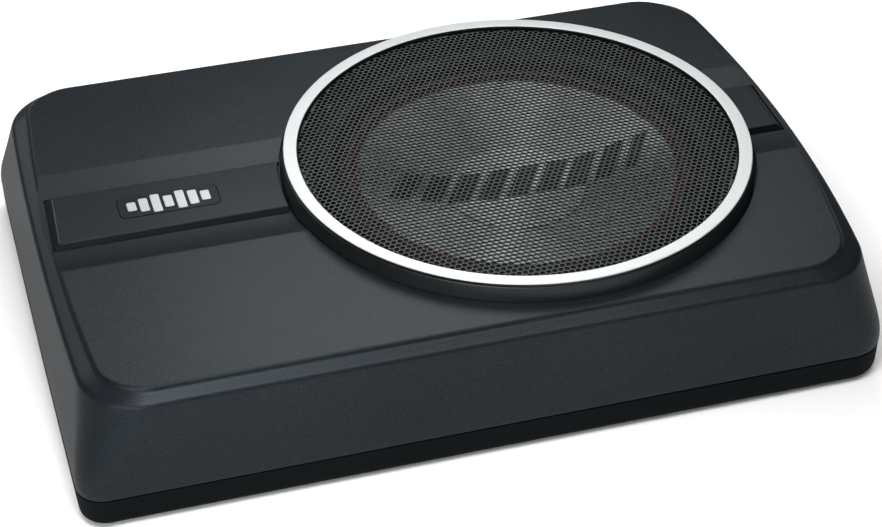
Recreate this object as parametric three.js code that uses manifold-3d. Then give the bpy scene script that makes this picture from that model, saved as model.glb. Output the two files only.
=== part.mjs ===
// Low-profile powered car subwoofer: a two-part plastic enclosure with a shallow
// driver under a round grille, an amplifier beside it and a connector panel in the
// back wall.  Millimetres, +Z up, +X along the long side, +Y towards the back wall.
// The origin is at the centre of the footprint, on the surface the feet stand on.
import * as THREE from 'three';
import { mergeVertices } from 'three/addons/utils/BufferGeometryUtils.js';
import Module from 'manifold-3d';

const wasm = await Module();
wasm.setup();

// ------------------------------------------------------------------ dimensions
const GAP = 0.3;                 // clearance between neighbouring pieces

// enclosure outlines: half depth a, left / right ends, end bow, corner radius
const PLATEAU = { z: 60.3, a: 107.7, xl: -159.2, xr: 160.7, sl: 5.9, sr: 12.9, rl: 20.0, rr: 22.3 };
const RIDGE = { z: 55.6, a: 113.3, xl: -165.9, xr: 166.1, sl: 4.0, sr: 9.8, rl: 27.0, rr: 25.3 };
const WAIST = { z: 22.2, a: 116.9, xl: -170.6, xr: 170.6, sl: 0.5, sr: 3.5, rl: 11.4, rr: 16.2 };
const HOUSING_Z0 = 15.3;         // lower rim of the top housing
const TRAY_Z1 = 14.8;            // upper rim of the bottom tray
const TRAY_Z0 = 2.0;             // underside of the bottom tray
const FLOOR_T = 2.6;             // tray floor thickness
const WALL = 2.8;                // enclosure wall thickness
const TOP_INNER_Z = 57.5;        // underside of the top skin

// shallow valley that runs across the top along X
const VALLEY = { y0: -27.0, y1: 41.5, depth: 2.45, power: 3.2, steps: 12 };

// round grille and its well
const RING_X = 41.4;             // centre of grille and driver
const RING = { rOut: 100.0, rIn: 94.2, z0: 66.6, z1: 67.9 };
const MESH = { r: 95.9, z0: 65.2, z1: 66.0, crown: 0.9, flat: 86.0, bend: 94.0 };
const WELL_R = 99.5;
const WELL_Z = 51.5;             // seat that carries the driver flange
const GROOVE_R = 102.4;
const GROOVE_Z = 57.2;
const SEAT_HOLE_R = 84.0;

// trim bars in the valley
const BAR = { y0: -8.1, y1: 24.4, z0: 57.2, z1: 60.3, side: 1.8, end: 3.0, rEnd: 102.8,
  leftBack: -155.0, leftFront: -156.7, rightEnd: 157.8 };
const BADGE = { x0: -129.6, x1: -87.4, y0: 1.5, y1: 15.9, r: 3.0, z0: 59.7, z1: 60.5 };

// fastening
const CASE_SCREWS = [[-150, -98], [150, -98], [150, 98], [-150, 98]];
const POST_TOP = 55.8;           // where the screw posts run into the sloping roof
const FEET = [[-126, -80], [126, -80], [126, 80], [-126, 80]];
const FOOT = { r: 9.0, z0: 0.0, z1: 2.9, pocketZ: 3.2 };
const DRIVER_SCREW_R = 94.0;
const DRIVER_SCREW_A = [45, 135, 225, 315];

// driver
const TRAVEL = 5.0;              // cone travel each way
const CONE = { rIn: 19.7, zIn: 40.0, rOut: 71.0, zOut: 54.4, lipR: 76.0, t: 0.8 };

// connector panel in the back wall
const PANEL = { x0: -134, x1: -36, z0: 19, z1: 51, y0: 102.8, y1: 104.8, pocketY: 102.5 };
const JACK_BOARD_Y = [92.0, 93.6];
const LOW_Z = 28.0;
const HIGH_Z = 44.0;
const POWER = { x: -122, w: 20, h: 11.6, y1: 112.0, cw: 16.4, ch: 8.2, cy: 100.5 };
const SPEAKER_IN = { x: -98.5, w: 17, h: 11, y1: 112.0, cw: 13.6, ch: 7.6, cy: 101.0 };
const REMOTE = { x: -79, w: 12.4, h: 11.2, y1: 111.0, cw: 9.0, ch: 7.6, cy: 100.5 };
const RCA_X = [-60.5, -45.5];
const FUSE = { x: -118, w: 26, h: 9 };
const LED_X = -98;
const SWITCH = { x: -84, travel: 4.0 };
const POT_X = [-66, -47.5];
const KNOB = { r: 5.4, y0: 105.3, y1: 112.8 };

// amplifier
const BOARD = { x0: -146, x1: -62, y0: -84, y1: 84, z0: 12.3, z1: 13.9 };

// ------------------------------------------------------------------- materials
const mat = (color, roughness, metalness = 0) => new THREE.MeshStandardMaterial({ color, roughness, metalness });
const M = {
  housing: mat(0x2b2e31, 0.62), tray: mat(0x1c1d1e, 0.7), seal: mat(0x151515, 0.95), foot: mat(0x191919, 0.9),
  screw: mat(0x35363a, 0.4, 0.9), ring: mat(0xd9dde0, 0.32, 0.9), frame: mat(0x0e0e0f, 0.45), mesh: mat(0x6f7476, 0.4, 0.8),
  bar: mat(0x2a2d2f, 0.5), badge: mat(0xc9cdd0, 0.3, 0.8), basket: mat(0x222325, 0.5, 0.6), gasket: mat(0x141414, 0.95),
  surround: mat(0x101010, 0.85), cone: mat(0xa6abad, 0.42, 0.5), accent: mat(0x7a1f1c, 0.5), spider: mat(0xb98d3e, 0.9),
  former: mat(0x8c5a2a, 0.6), winding: mat(0xb0642c, 0.4, 0.9), steel: mat(0x8d9093, 0.45, 0.9), magnet: mat(0x2f3032, 0.7, 0.2),
  fibre: mat(0x6b4a2c, 0.8), tinsel: mat(0xb98c4c, 0.45, 0.8), wire: mat(0x9a1b1b, 0.6), pcb: mat(0x0f5a33, 0.55),
  aluminium: mat(0xb9bcbe, 0.4, 0.95), part: mat(0x16171a, 0.6), can: mat(0x1d2a4a, 0.45), panel: mat(0x17181a, 0.6),
  socket: mat(0x111214, 0.6), socketGrey: mat(0x8f9395, 0.6), gold: mat(0xc9a24b, 0.3, 0.95), fuse: mat(0x2f6fb5, 0.3),
  knob: mat(0x121315, 0.55), lens: mat(0x2d6df0, 0.2),
};

// --------------------------------------------------------------------- helpers
const V = (x, y, z) => new THREE.Vector3(x, y, z);

function toSolid(geometry) {
  const g = geometry.clone();
  for (const name of Object.keys(g.attributes)) if (name !== 'position') g.deleteAttribute(name);
  const m = mergeVertices(g, 1e-4);
  const p = m.attributes.position.array;
  let idx = Array.from(m.index.array);
  // drop triangles that collapsed when coincident vertices were merged
  const keep = [];
  for (let i = 0; i < idx.length; i += 3) {
    const [a, b, c] = [idx[i], idx[i + 1], idx[i + 2]];
    if (a !== b && b !== c && a !== c) keep.push(a, b, c);
  }
  idx = keep;
  let vol = 0;
  for (let i = 0; i < idx.length; i += 3) {
    const a = idx[i] * 3, b = idx[i + 1] * 3, c = idx[i + 2] * 3;
    vol += p[a] * (p[b + 1] * p[c + 2] - p[b + 2] * p[c + 1])
      - p[a + 1] * (p[b] * p[c + 2] - p[b + 2] * p[c])
      + p[a + 2] * (p[b] * p[c + 1] - p[b + 1] * p[c]);
  }
  if (vol < 0) for (let i = 0; i < idx.length; i += 3) [idx[i + 1], idx[i + 2]] = [idx[i + 2], idx[i + 1]];
  return new wasm.Manifold(new wasm.Mesh({ numProp: 3, vertProperties: new Float32Array(p), triVerts: new Uint32Array(idx) }));
}

function toGeometry(solid) {
  const m = solid.getMesh();
  const g = new THREE.BufferGeometry();
  const v = new Float32Array((m.vertProperties.length / m.numProp) * 3);
  for (let i = 0; i < v.length / 3; i++) for (let k = 0; k < 3; k++) v[i * 3 + k] = m.vertProperties[i * m.numProp + k];
  g.setAttribute('position', new THREE.BufferAttribute(v, 3));
  g.setIndex(new THREE.BufferAttribute(new Uint32Array(m.triVerts), 1));
  g.computeVertexNormals();
  return g;
}

const join = (...s) => s.reduce((a, b) => a.add(b));
const cut = (a, ...s) => s.reduce((x, b) => x.subtract(b), a);

function box(x0, x1, y0, y1, z0, z1) {
  const g = new THREE.BoxGeometry(x1 - x0, y1 - y0, z1 - z0);
  g.translate((x0 + x1) / 2, (y0 + y1) / 2, (z0 + z1) / 2);
  return toSolid(g);
}
function cylZ(x, y, r, z0, z1, n = 20) {
  const g = new THREE.CylinderGeometry(r, r, z1 - z0, n);
  g.rotateX(Math.PI / 2);
  g.translate(x, y, (z0 + z1) / 2);
  return toSolid(g);
}
function cylY(x, z, r, y0, y1, n = 16) {
  const g = new THREE.CylinderGeometry(r, r, y1 - y0, n);
  g.translate(x, (y0 + y1) / 2, z);
  return toSolid(g);
}
// profile of [radius, height] pairs; closes on itself unless it starts and ends on the axis
function latheGeometry(profile, n) {
  const p = profile.map(([r, h]) => new THREE.Vector2(r, h));
  if (!(p[0].x === 0 && p[p.length - 1].x === 0)) p.push(p[0].clone());
  return new THREE.LatheGeometry(p, n);
}
function lathe(profile, n = 36) {
  const g = latheGeometry(profile, n);
  g.rotateX(Math.PI / 2);
  return toSolid(g);
}
function latheY(x, z, profile, n = 16) {
  const g = latheGeometry(profile, n);
  g.translate(x, 0, z);
  return toSolid(g);
}
function prism(points, depth, basis, offset) {
  const g = new THREE.ExtrudeGeometry(new THREE.Shape(points.map(([a, b]) => new THREE.Vector2(a, b))), { depth, bevelEnabled: false });
  g.applyMatrix4(new THREE.Matrix4().makeBasis(...basis));
  g.translate(offset.x, offset.y, offset.z);
  return toSolid(g);
}
const prismZ = (pts, z0, z1) => prism(pts, z1 - z0, [V(1, 0, 0), V(0, 1, 0), V(0, 0, 1)], V(0, 0, z0));
const prismX = (pts, x0, x1) => prism(pts, x1 - x0, [V(0, 1, 0), V(0, 0, 1), V(1, 0, 0)], V(x0, 0, 0));

// closed skin through a stack of [outline, height] levels with equal point counts
function loft(levels) {
  const n = levels[0][0].length;
  const pos = [];
  const idx = [];
  for (const [pts, z] of levels) for (const [x, y] of pts) pos.push(x, y, z);
  for (let k = 0; k + 1 < levels.length; k++) {
    for (let i = 0; i < n; i++) {
      const a = k * n + i, b = k * n + (i + 1) % n, c = a + n, d = b + n;
      idx.push(a, b, d, a, d, c);
    }
  }
  const cap = THREE.ShapeUtils.triangulateShape(levels[0][0].map(([x, y]) => new THREE.Vector2(x, y)), []);
  for (const [a, b, c] of cap) idx.push(a, c, b);
  const capTop = THREE.ShapeUtils.triangulateShape(levels[levels.length - 1][0].map(([x, y]) => new THREE.Vector2(x, y)), []);
  const o = (levels.length - 1) * n;
  for (const [a, b, c] of capTop) idx.push(o + a, o + b, o + c);
  const g = new THREE.BufferGeometry();
  g.setAttribute('position', new THREE.Float32BufferAttribute(pos, 3));
  g.setIndex(idx);
  return toSolid(g);
}

// one bowed end of the enclosure outline, with its two corner fillets
function bowedEnd(a, l, s, r, n = 5) {
  s = Math.max(s, 0.05);
  const R = (a * a + s * s) / (2 * s);
  const cx = l - R;
  const fx = cx + Math.sqrt((R - r) ** 2 - (a - r) ** 2);
  const fy = -(a - r);
  const th = Math.atan2(fy, fx - cx);
  const pts = [];
  for (let i = 0; i < n; i++) {
    const t = -Math.PI / 2 + (th + Math.PI / 2) * i / n;
    pts.push([fx + r * Math.cos(t), fy + r * Math.sin(t)]);
  }
  for (let i = 0; i <= 4; i++) {
    const t = th - 2 * th * i / 4;
    pts.push([cx + R * Math.cos(t), R * Math.sin(t)]);
  }
  for (let i = 1; i <= n; i++) {
    const t = -th + (Math.PI / 2 + th) * i / n;
    pts.push([fx + r * Math.cos(t), -fy + r * Math.sin(t)]);
  }
  return pts;
}
function outline(o, inset = 0) {
  const right = bowedEnd(o.a - inset, o.xr - inset, o.sr, Math.max(o.rr - inset, 2));
  const left = bowedEnd(o.a - inset, -o.xl - inset, o.sl, Math.max(o.rl - inset, 2)).map(([x, y]) => [-x, -y]);
  return [...right, ...left];
}
function roundRect(x0, x1, y0, y1, r, n = 4) {
  const pts = [];
  for (const [cx, cy, a0] of [[x1 - r, y0 + r, -90], [x1 - r, y1 - r, 0], [x0 + r, y1 - r, 90], [x0 + r, y0 + r, 180]]) {
    for (let i = 0; i <= n; i++) {
      const t = (a0 + 90 * i / n) * Math.PI / 180;
      pts.push([cx + r * Math.cos(t), cy + r * Math.sin(t)]);
    }
  }
  return pts;
}
function sector(r0, r1, a0, a1, n = 4) {
  const pts = [];
  for (let i = 0; i <= n; i++) { const t = (a0 + (a1 - a0) * i / n) * Math.PI / 180; pts.push([r1 * Math.cos(t), r1 * Math.sin(t)]); }
  for (let i = n; i >= 0; i--) { const t = (a0 + (a1 - a0) * i / n) * Math.PI / 180; pts.push([r0 * Math.cos(t), r0 * Math.sin(t)]); }
  return pts;
}
function tube(points, radius, steps, sides) {
  const path = new THREE.CatmullRomCurve3(points.map((p) => V(...p)));
  const ring = [];
  for (let i = 0; i < sides; i++) ring.push(new THREE.Vector2(radius * Math.cos(2 * Math.PI * i / sides), radius * Math.sin(2 * Math.PI * i / sides)));
  return toSolid(new THREE.ExtrudeGeometry(new THREE.Shape(ring), { steps, extrudePath: path, bevelEnabled: false }));
}

const root = new THREE.Group();
function put(parent, name, solid, material, position) {
  const mesh = new THREE.Mesh(toGeometry(solid), material);
  mesh.name = name;
  if (position) mesh.position.set(...position);
  parent.add(mesh);
  return mesh;
}
const at = (a, r) => [r * Math.cos(a * Math.PI / 180), r * Math.sin(a * Math.PI / 180)];

// ------------------------------------------------------------------- enclosure
const enclosure = new THREE.Group();
root.add(enclosure);

// valley depth below the plateau at a given y
function valleyDepth(y) {
  const mid = (VALLEY.y0 + VALLEY.y1) / 2, half = (VALLEY.y1 - VALLEY.y0) / 2;
  return VALLEY.depth * (1 - Math.min(1, Math.abs((y - mid) / half)) ** VALLEY.power);
}

// plan outline of a trim bar, grown by d at the sides and e at the free end
function barOutline(side, d, e, rEnd) {
  const y0 = BAR.y0 - d, y1 = BAR.y1 + d;
  const arc = [];
  for (let i = 0; i <= 8; i++) {
    const y = y0 + (y1 - y0) * i / 8;
    arc.push([RING_X + side * Math.sqrt(rEnd * rEnd - y * y), y]);
  }
  if (side < 0) return [...arc, [BAR.leftBack - e, y1], [BAR.leftFront - e, y0]];
  return [...arc.reverse(), [BAR.rightEnd + e, y0], [BAR.rightEnd + e, y1]];
}

{ // top housing
  const skin = loft([
    [outline(WAIST, 0.15), HOUSING_Z0],
    [outline(WAIST), 18.0],
    [outline(WAIST), WAIST.z],
    [outline(RIDGE), RIDGE.z],
    [outline(PLATEAU), PLATEAU.z],
  ]);
  const hollow = loft([
    [outline(WAIST, WALL), HOUSING_Z0 - 2],
    [outline(WAIST, WALL), WAIST.z],
    [outline(RIDGE, WALL + 0.2), RIDGE.z - 1.6],
    [outline(PLATEAU, WALL - 0.4), TOP_INNER_Z],
  ]);
  // the skin stays thick under the valley
  const thickening = box(-175, 175, VALLEY.y0 - 3, VALLEY.y1 + 3, 54.9, 59);
  const posts = CASE_SCREWS.map(([x, y]) => cylZ(x, y, 4.5, TRAY_Z1 - 2.5, POST_TOP, 14));
  const wellRing = lathe([[SEAT_HOLE_R - 2, 48.7], [102.6, 48.7], [102.6, 59], [SEAT_HOLE_R - 2, 59]], 48).translate([RING_X, 0, 0]);
  const wellBosses = DRIVER_SCREW_A.map((a) => { const [x, y] = at(a, DRIVER_SCREW_R); return cylZ(RING_X + x, y, 4, 40, 50, 12); });
  const pocketBox = box(PANEL.x0 - 2.5, PANEL.x1 + 2.5, 100, 125, PANEL.z0 - 2.5, PANEL.z1 + 2.5).intersect(skin);

  let s = cut(skin, hollow.subtract(thickening));
  s = join(s, wellRing, pocketBox, ...posts, ...wellBosses);
  const wellCut = lathe([[0, 30], [SEAT_HOLE_R, 30], [SEAT_HOLE_R, WELL_Z], [WELL_R, WELL_Z], [WELL_R, GROOVE_Z],
    [GROOVE_R, GROOVE_Z], [GROOVE_R, 65], [0, 65]], 48).translate([RING_X, 0, 0]);
  const valley = [];
  for (let i = 0; i <= VALLEY.steps; i++) {
    const u = -Math.cos(Math.PI * i / VALLEY.steps);
    const y = (VALLEY.y0 + VALLEY.y1) / 2 + u * (VALLEY.y1 - VALLEY.y0) / 2;
    valley.push([y, PLATEAU.z - valleyDepth(y)]);
  }
  valley.push([VALLEY.y1 + 0.01, 64], [VALLEY.y0 - 0.01, 64]);
  s = cut(s, wellCut, prismX(valley, -175, 175));
  for (const side of [-1, 1]) s = cut(s, prismZ(barOutline(side, BAR.side + GAP, BAR.end + GAP, 101.9), BAR.z0 - GAP, 62));
  // pocket and opening for the connector panel
  s = cut(s, box(PANEL.x0, PANEL.x1, PANEL.pocketY, 125, PANEL.z0, PANEL.z1));
  s = cut(s, box(PANEL.x0 + 2, PANEL.x1 - 2, 95, 110, PANEL.z0 + 2, PANEL.z1 - 2));
  for (const [x, y] of CASE_SCREWS) s = cut(s, cylZ(x, y, 1.9, 8, 32, 12));
  for (const a of DRIVER_SCREW_A) { const [x, y] = at(a, DRIVER_SCREW_R); s = cut(s, cylZ(RING_X + x, y, 1.6, 42, 60, 12)); }
  put(enclosure, 'top_housing', s, M.housing);
}

{ // bottom tray
  const shell = loft([
    [outline(WAIST, 2.6), TRAY_Z0],
    [outline(WAIST, 1.2), TRAY_Z0 + 0.5],
    [outline(WAIST, 0.5), TRAY_Z0 + 2.0],
    [outline(WAIST, 0.2), TRAY_Z1],
  ]);
  const hollow = loft([
    [outline(WAIST, 4.4), TRAY_Z0 + FLOOR_T],
    [outline(WAIST, 3.2), TRAY_Z0 + FLOOR_T + 1.2],
    [outline(WAIST, 3.0), TRAY_Z1 + 1],
  ]);
  const rimStep = loft([[outline(WAIST, 1.5), TRAY_Z1 - 1.6], [outline(WAIST, 1.5), TRAY_Z1 + 1]]);
  let s = cut(shell, hollow, rimStep.subtract(loft([[outline(WAIST, 2.9), TRAY_Z1 - 3], [outline(WAIST, 2.9), TRAY_Z1 + 2]])));
  for (const [x, y] of CASE_SCREWS) s = join(s, cylZ(x, y, 5.2, TRAY_Z0 + 0.5, TRAY_Z1 - 2.8, 16));
  const standoffs = [[BOARD.x0 + 8, BOARD.y0 + 8], [BOARD.x1 - 8, BOARD.y0 + 8], [BOARD.x1 - 8, BOARD.y1 - 8], [BOARD.x0 + 8, BOARD.y1 - 8]];
  for (const [x, y] of standoffs) s = join(s, cylZ(x, y, 3.5, TRAY_Z0 + 1, BOARD.z0 - GAP, 12), cylZ(x, y, 1.2, BOARD.z0 - 1, BOARD.z1 + 0.8, 8));
  // stiffening ribs on the floor between amplifier and driver
  s = join(s, box(-54, -52, -100, 100, TRAY_Z0 + 1, 9), box(118, 120, -96, 96, TRAY_Z0 + 1, 8));
  for (const [x, y] of CASE_SCREWS) s = cut(s, cylZ(x, y, 3.9, 0, 7.4, 14), cylZ(x, y, 2.0, 5, 20, 12));
  for (const [x, y] of FEET) s = cut(s, cylZ(x, y, FOOT.r + GAP, 0, FOOT.pocketZ, 16));
  put(enclosure, 'bottom_tray', s, M.tray);
}

put(enclosure, 'housing_seal', cut(
  loft([[outline(WAIST, 1.75), TRAY_Z1 - 1.3], [outline(WAIST, 1.75), TRAY_Z1 + 0.2]]),
  loft([[outline(WAIST, 2.7), TRAY_Z1 - 4], [outline(WAIST, 2.7), TRAY_Z1 + 4]])), M.seal);

const foot = lathe([[0, FOOT.z0], [FOOT.r - 0.8, FOOT.z0], [FOOT.r, FOOT.z0 + 0.8], [FOOT.r, FOOT.z1], [0, FOOT.z1]], 16);
FEET.forEach(([x, y], i) => put(enclosure, `foot_${i + 1}`, foot, M.foot, [x, y, 0]));

const caseScrew = lathe([[0, 4.6], [3.0, 4.6], [3.5, 5.2], [3.5, 7.1], [1.6, 7.1], [1.6, 27], [0, 28]], 10);
CASE_SCREWS.forEach(([x, y], i) => put(enclosure, `case_screw_${i + 1}`, caseScrew, M.screw, [x, y, 0]));

// ---------------------------------------------------------------------- trim
for (const [name, side] of [['trim_bar_left', -1], ['trim_bar_right', 1]]) {
  let s = loft([
    [barOutline(side, BAR.side, BAR.end, BAR.rEnd), BAR.z0],
    [barOutline(side, BAR.side, BAR.end, BAR.rEnd), 57.9],
    [barOutline(side, 0.25, 0.3, BAR.rEnd), BAR.z1 - 0.25],
    [barOutline(side, 0, 0, BAR.rEnd), BAR.z1],
  ]);
  if (side < 0) s = cut(s, prismZ(roundRect(BADGE.x0 - 0.25, BADGE.x1 + 0.25, BADGE.y0 - 0.25, BADGE.y1 + 0.25, BADGE.r), BADGE.z0 - GAP, 63));
  put(enclosure, name, s, M.bar);
}
{ // badge plate with a generic row of level bars
  let s = prismZ(roundRect(BADGE.x0, BADGE.x1, BADGE.y0, BADGE.y1, BADGE.r), BADGE.z0, BADGE.z1);
  const heights = [6.0, 9.2, 12.4, 8.0, 12.4, 9.8, 6.6];
  const mid = (BADGE.x0 + BADGE.x1) / 2, base = (BADGE.y0 + BADGE.y1) / 2;
  heights.forEach((h, i) => {
    const x = mid + (i - 3) * 5.2;
    s = join(s, box(x - 1.9, x + 1.9, base - h / 2, base + h / 2, BADGE.z1 - 0.2, BADGE.z1 + 0.2));
  });
  put(enclosure, 'badge', s, M.badge);
}

// ---------------------------------------------------------------------- driver
const driver = new THREE.Group();
driver.position.set(RING_X, 0, 0);
root.add(driver);

put(driver, 'grille_ring', lathe([[RING.rIn, RING.z0], [RING.rOut, RING.z0], [RING.rOut, RING.z1 - 0.4], [RING.rOut - 0.4, RING.z1],
  [RING.rIn + 0.4, RING.z1], [RING.rIn, RING.z1 - 0.4]], 48), M.ring);
put(driver, 'grille_frame', lathe([[97.3, 55.4], [99.2, 55.4], [99.2, GROOVE_Z + GAP], [101.7, GROOVE_Z + GAP], [101.6, 60.3], [100.3, 66.3],
  [96.2, 66.3], [96.2, 64.9], [94.4, 64.9], [94.4, 63.9], [97.3, 62.2]], 48), M.frame);
put(driver, 'grille_mesh', lathe([[0, MESH.z0 + MESH.crown], [MESH.flat, MESH.z0 + MESH.crown], [MESH.bend, MESH.z0], [MESH.r, MESH.z0],
  [MESH.r, MESH.z1], [MESH.bend, MESH.z1], [MESH.flat, MESH.z1 + MESH.crown], [0, MESH.z1 + MESH.crown]], 48), M.mesh);

{ // basket: flange, six legs, spider shelf and motor seat
  let s = lathe([[84.6, 55.0], [99.0, 55.0], [99.0, 53.0], [83.4, 53.0], [82.8, 46.5], [50.5, 33.0], [46.9, 33.0], [46.9, 29.3],
    [36.0, 29.3], [36.0, 31.3], [41.5, 31.3], [41.5, 34.3], [46.9, 34.3], [49.0, 35.6], [80.2, 48.4], [80.8, 53.2]]);
  for (let k = 0; k < 6; k++) s = cut(s, prismZ(sector(46.95, 78.5, k * 60 - 20, k * 60 + 20), 28.8, 51.5));
  for (const a of DRIVER_SCREW_A) { const [x, y] = at(a, DRIVER_SCREW_R); s = cut(s, cylZ(x, y, 1.8, 50, 58, 12)); }
  put(driver, 'driver_basket', s, M.basket);
  let g = lathe([[85.0, 51.8], [98.8, 51.8], [98.8, 52.7], [85.0, 52.7]]);
  for (const a of DRIVER_SCREW_A) { const [x, y] = at(a, DRIVER_SCREW_R); g = cut(g, cylZ(x, y, 1.8, 50, 54, 12)); }
  put(driver, 'driver_gasket', g, M.gasket);
}
const driverScrew = lathe([[0, 43], [1.3, 44], [1.3, 55.3], [2.8, 55.3], [2.8, 56.4], [1.8, 57.2], [0, 57.2]], 10);
DRIVER_SCREW_A.forEach((a, i) => put(driver, `driver_screw_${i + 1}`, driverScrew, M.screw, [...at(a, DRIVER_SCREW_R), 0]));

{ // half-roll surround between flange and cone lip
  const top = [], under = [];
  for (let i = 0; i <= 5; i++) {
    const t = Math.PI * i / 5;
    top.push([82 + 5.6 * Math.cos(t), 56.0 + 6.2 * Math.sin(t)]);
    under.push([82 + 5.0 * Math.cos(t), 56.0 + 5.5 * Math.sin(t)]);
  }
  put(driver, 'surround', lathe([[87.0, 55.35], [90.5, 55.35], [90.5, 56.0], ...top, [74.2, 56.2], [74.2, 55.6], [76.9, 55.6], ...under.reverse()]), M.surround);
}
const motor = new THREE.Group();
driver.add(motor);
put(driver, 'cone', lathe([[CONE.rIn, CONE.zIn - 1.6], [CONE.rIn + 0.8, CONE.zIn - 1.6], [CONE.rIn + 0.8, CONE.zIn - CONE.t + 0.5], [CONE.rOut, CONE.zOut - CONE.t + 0.2],
  [CONE.lipR, 54.6], [CONE.lipR, 55.3], [CONE.rOut, 55.2], [CONE.rIn, CONE.zIn + 0.5]]), M.cone);
put(driver, 'accent_ring', lathe([[71.3, 55.6], [73.8, 55.65], [73.8, 56.4], [72.5, 56.9], [71.3, 56.4]]), M.accent);
{ // shallow dished dust cap
  const outer = [], inner = [];
  for (let i = 0; i <= 4; i++) {
    const r = 30 * i / 4;
    outer.push([r, 42.0 + 2.6 * (r / 30) ** 2]);
    inner.push([r * 0.975, 41.2 + 2.6 * (r / 30) ** 2]);
  }
  put(driver, 'dust_cap', lathe([...outer, [30.0, 44.1], ...inner.reverse()]), M.cone);
}
put(driver, 'coil_former', lathe([[19.0, 18.0], [19.35, 18.0], [19.35, 41.8], [19.0, 41.8]]), M.former);
put(driver, 'coil_winding', lathe([[19.7, 18.6], [20.4, 18.6], [20.4, 33.0], [19.7, 33.0]]), M.winding);
{ // corrugated spider
  const up = [], dn = [];
  const rs = [19.7, 23, 27, 31, 35, 39, 46.5];
  const zs = [35.4, 35.4, 36.4, 34.8, 36.4, 35.4, 35.4];
  rs.forEach((r, i) => { up.push([r, zs[i]]); dn.push([r, zs[i] - 0.7]); });
  put(driver, 'spider', lathe([...up, ...dn.reverse()]), M.spider);
}
put(motor, 'top_plate', lathe([[21.3, 23.8], [45.0, 23.8], [45.0, 28.9], [21.3, 28.9]]), M.steel);
put(motor, 'magnet', lathe([[26.0, 12.5], [50.0, 12.5], [50.0, 23.5], [26.0, 23.5]]), M.magnet);
put(motor, 'yoke', lathe([[5.0, 7.0], [45.5, 7.0], [47.0, 8.5], [47.0, 12.2], [18.3, 12.2], [18.3, 29.4], [5.0, 29.4]]), M.steel);
put(driver, 'terminal_strip', join(box(-48.9, -47.3, -10, 10, 29.5, 40.5), box(-51.5, -48.8, -7, -3, 37.6, 38.4), box(-51.5, -48.8, 3, 7, 37.6, 38.4)), M.fibre);
for (const [name, side] of [['tinsel_lead_left', -1], ['tinsel_lead_right', 1]]) {
  put(driver, name, tube([[-46.8, side * 8, 39.6], [-40, side * 7.6, 40.4], [-32, side * 6.6, 38.6], [-25, side * 5.2, 38.2], [-20.3, side * 4.4, 37.3]], 0.45, 8, 6), M.tinsel);
}

// ------------------------------------------------------------------- amplifier
const amplifier = new THREE.Group();
root.add(amplifier);
{
  let s = box(BOARD.x0, BOARD.x1, BOARD.y0, BOARD.y1, BOARD.z0, BOARD.z1);
  for (const [x, y] of [[BOARD.x0 + 8, BOARD.y0 + 8], [BOARD.x1 - 8, BOARD.y0 + 8], [BOARD.x1 - 8, BOARD.y1 - 8], [BOARD.x0 + 8, BOARD.y1 - 8]]) s = cut(s, cylZ(x, y, 1.6, 10, 16, 10));
  put(amplifier, 'amplifier_board', s, M.pcb);
  let h = box(-142, -122, -60, 60, BOARD.z1 + GAP, 40);
  for (let k = 0; k < 5; k++) h = cut(h, box(-143, -126, -52 + k * 22, -36 + k * 22, 18, 41));
  put(amplifier, 'heat_sink', h, M.aluminium);
}
for (const [i, y] of [[1, -22], [2, 22]]) put(amplifier, `power_transistor_${i}`, box(-121.7, -116.9, y - 8, y + 8, BOARD.z1 + 2, BOARD.z1 + 23), M.part);
for (const [i, y] of [[1, -52], [2, -28]]) put(amplifier, `capacitor_${i}`, lathe([[0, BOARD.z1 + GAP], [9, BOARD.z1 + GAP], [9, 43], [8.2, 44], [0, 44]], 14), M.can, [-94, y, 0]);
put(amplifier, 'transformer', lathe([[6.5, 16.2], [8.5, BOARD.z1 + GAP], [14, BOARD.z1 + GAP], [16, 16.2], [16, 25], [14, 27], [8.5, 27], [6.5, 25]], 16), M.winding, [-94, 26, 0]);
put(amplifier, 'jack_board', box(PANEL.x0 + 3, PANEL.x1 - 3, ...JACK_BOARD_Y, 17, 52), M.pcb);
put(amplifier, 'speaker_lead', tube([[-66, -6, 14.4], [-63, -6, 22], [-48, -6, 30], [-28, -5.5, 35.5], [-11.4, -5, 35.6]], 1.4, 12, 8), M.wire);

// ------------------------------------------------------------- connector panel
const panel = new THREE.Group();
root.add(panel);
const BACK = JACK_BOARD_Y[1] + GAP;      // inner end of everything on the jack board
{
  let s = box(PANEL.x0 + GAP, PANEL.x1 - GAP, PANEL.y0, PANEL.y1, PANEL.z0 + GAP, PANEL.z1 - GAP);
  for (const [o, z] of [[POWER, LOW_Z], [SPEAKER_IN, LOW_Z], [REMOTE, LOW_Z], [FUSE, HIGH_Z]]) {
    s = cut(s, box(o.x - o.w / 2 - GAP, o.x + o.w / 2 + GAP, 100, 110, z - o.h / 2 - GAP, z + o.h / 2 + GAP));
  }
  for (const x of RCA_X) s = cut(s, cylY(x, LOW_Z, 4.9, 100, 110));
  for (const x of POT_X) s = cut(s, cylY(x, HIGH_Z, 3.4, 100, 110));
  s = cut(s, cylY(LED_X, HIGH_Z, 1.9, 100, 110, 12));
  s = cut(s, box(SWITCH.x - 4.3, SWITCH.x + 4.3, 100, 110, HIGH_Z - 2.0, HIGH_Z + 2.0));
  put(panel, 'control_panel', s, M.panel);
}
function socket(name, o, material) {
  const s = cut(box(o.x - o.w / 2, o.x + o.w / 2, BACK, o.y1, LOW_Z - o.h / 2, LOW_Z + o.h / 2),
    box(o.x - o.cw / 2, o.x + o.cw / 2, o.cy, o.y1 + 5, LOW_Z - o.ch / 2, LOW_Z + o.ch / 2));
  put(panel, name, s, material);
}
socket('power_socket', POWER, M.socket);
socket('speaker_input_socket', SPEAKER_IN, M.socketGrey);
socket('remote_control_jack', REMOTE, M.socket);
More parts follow.
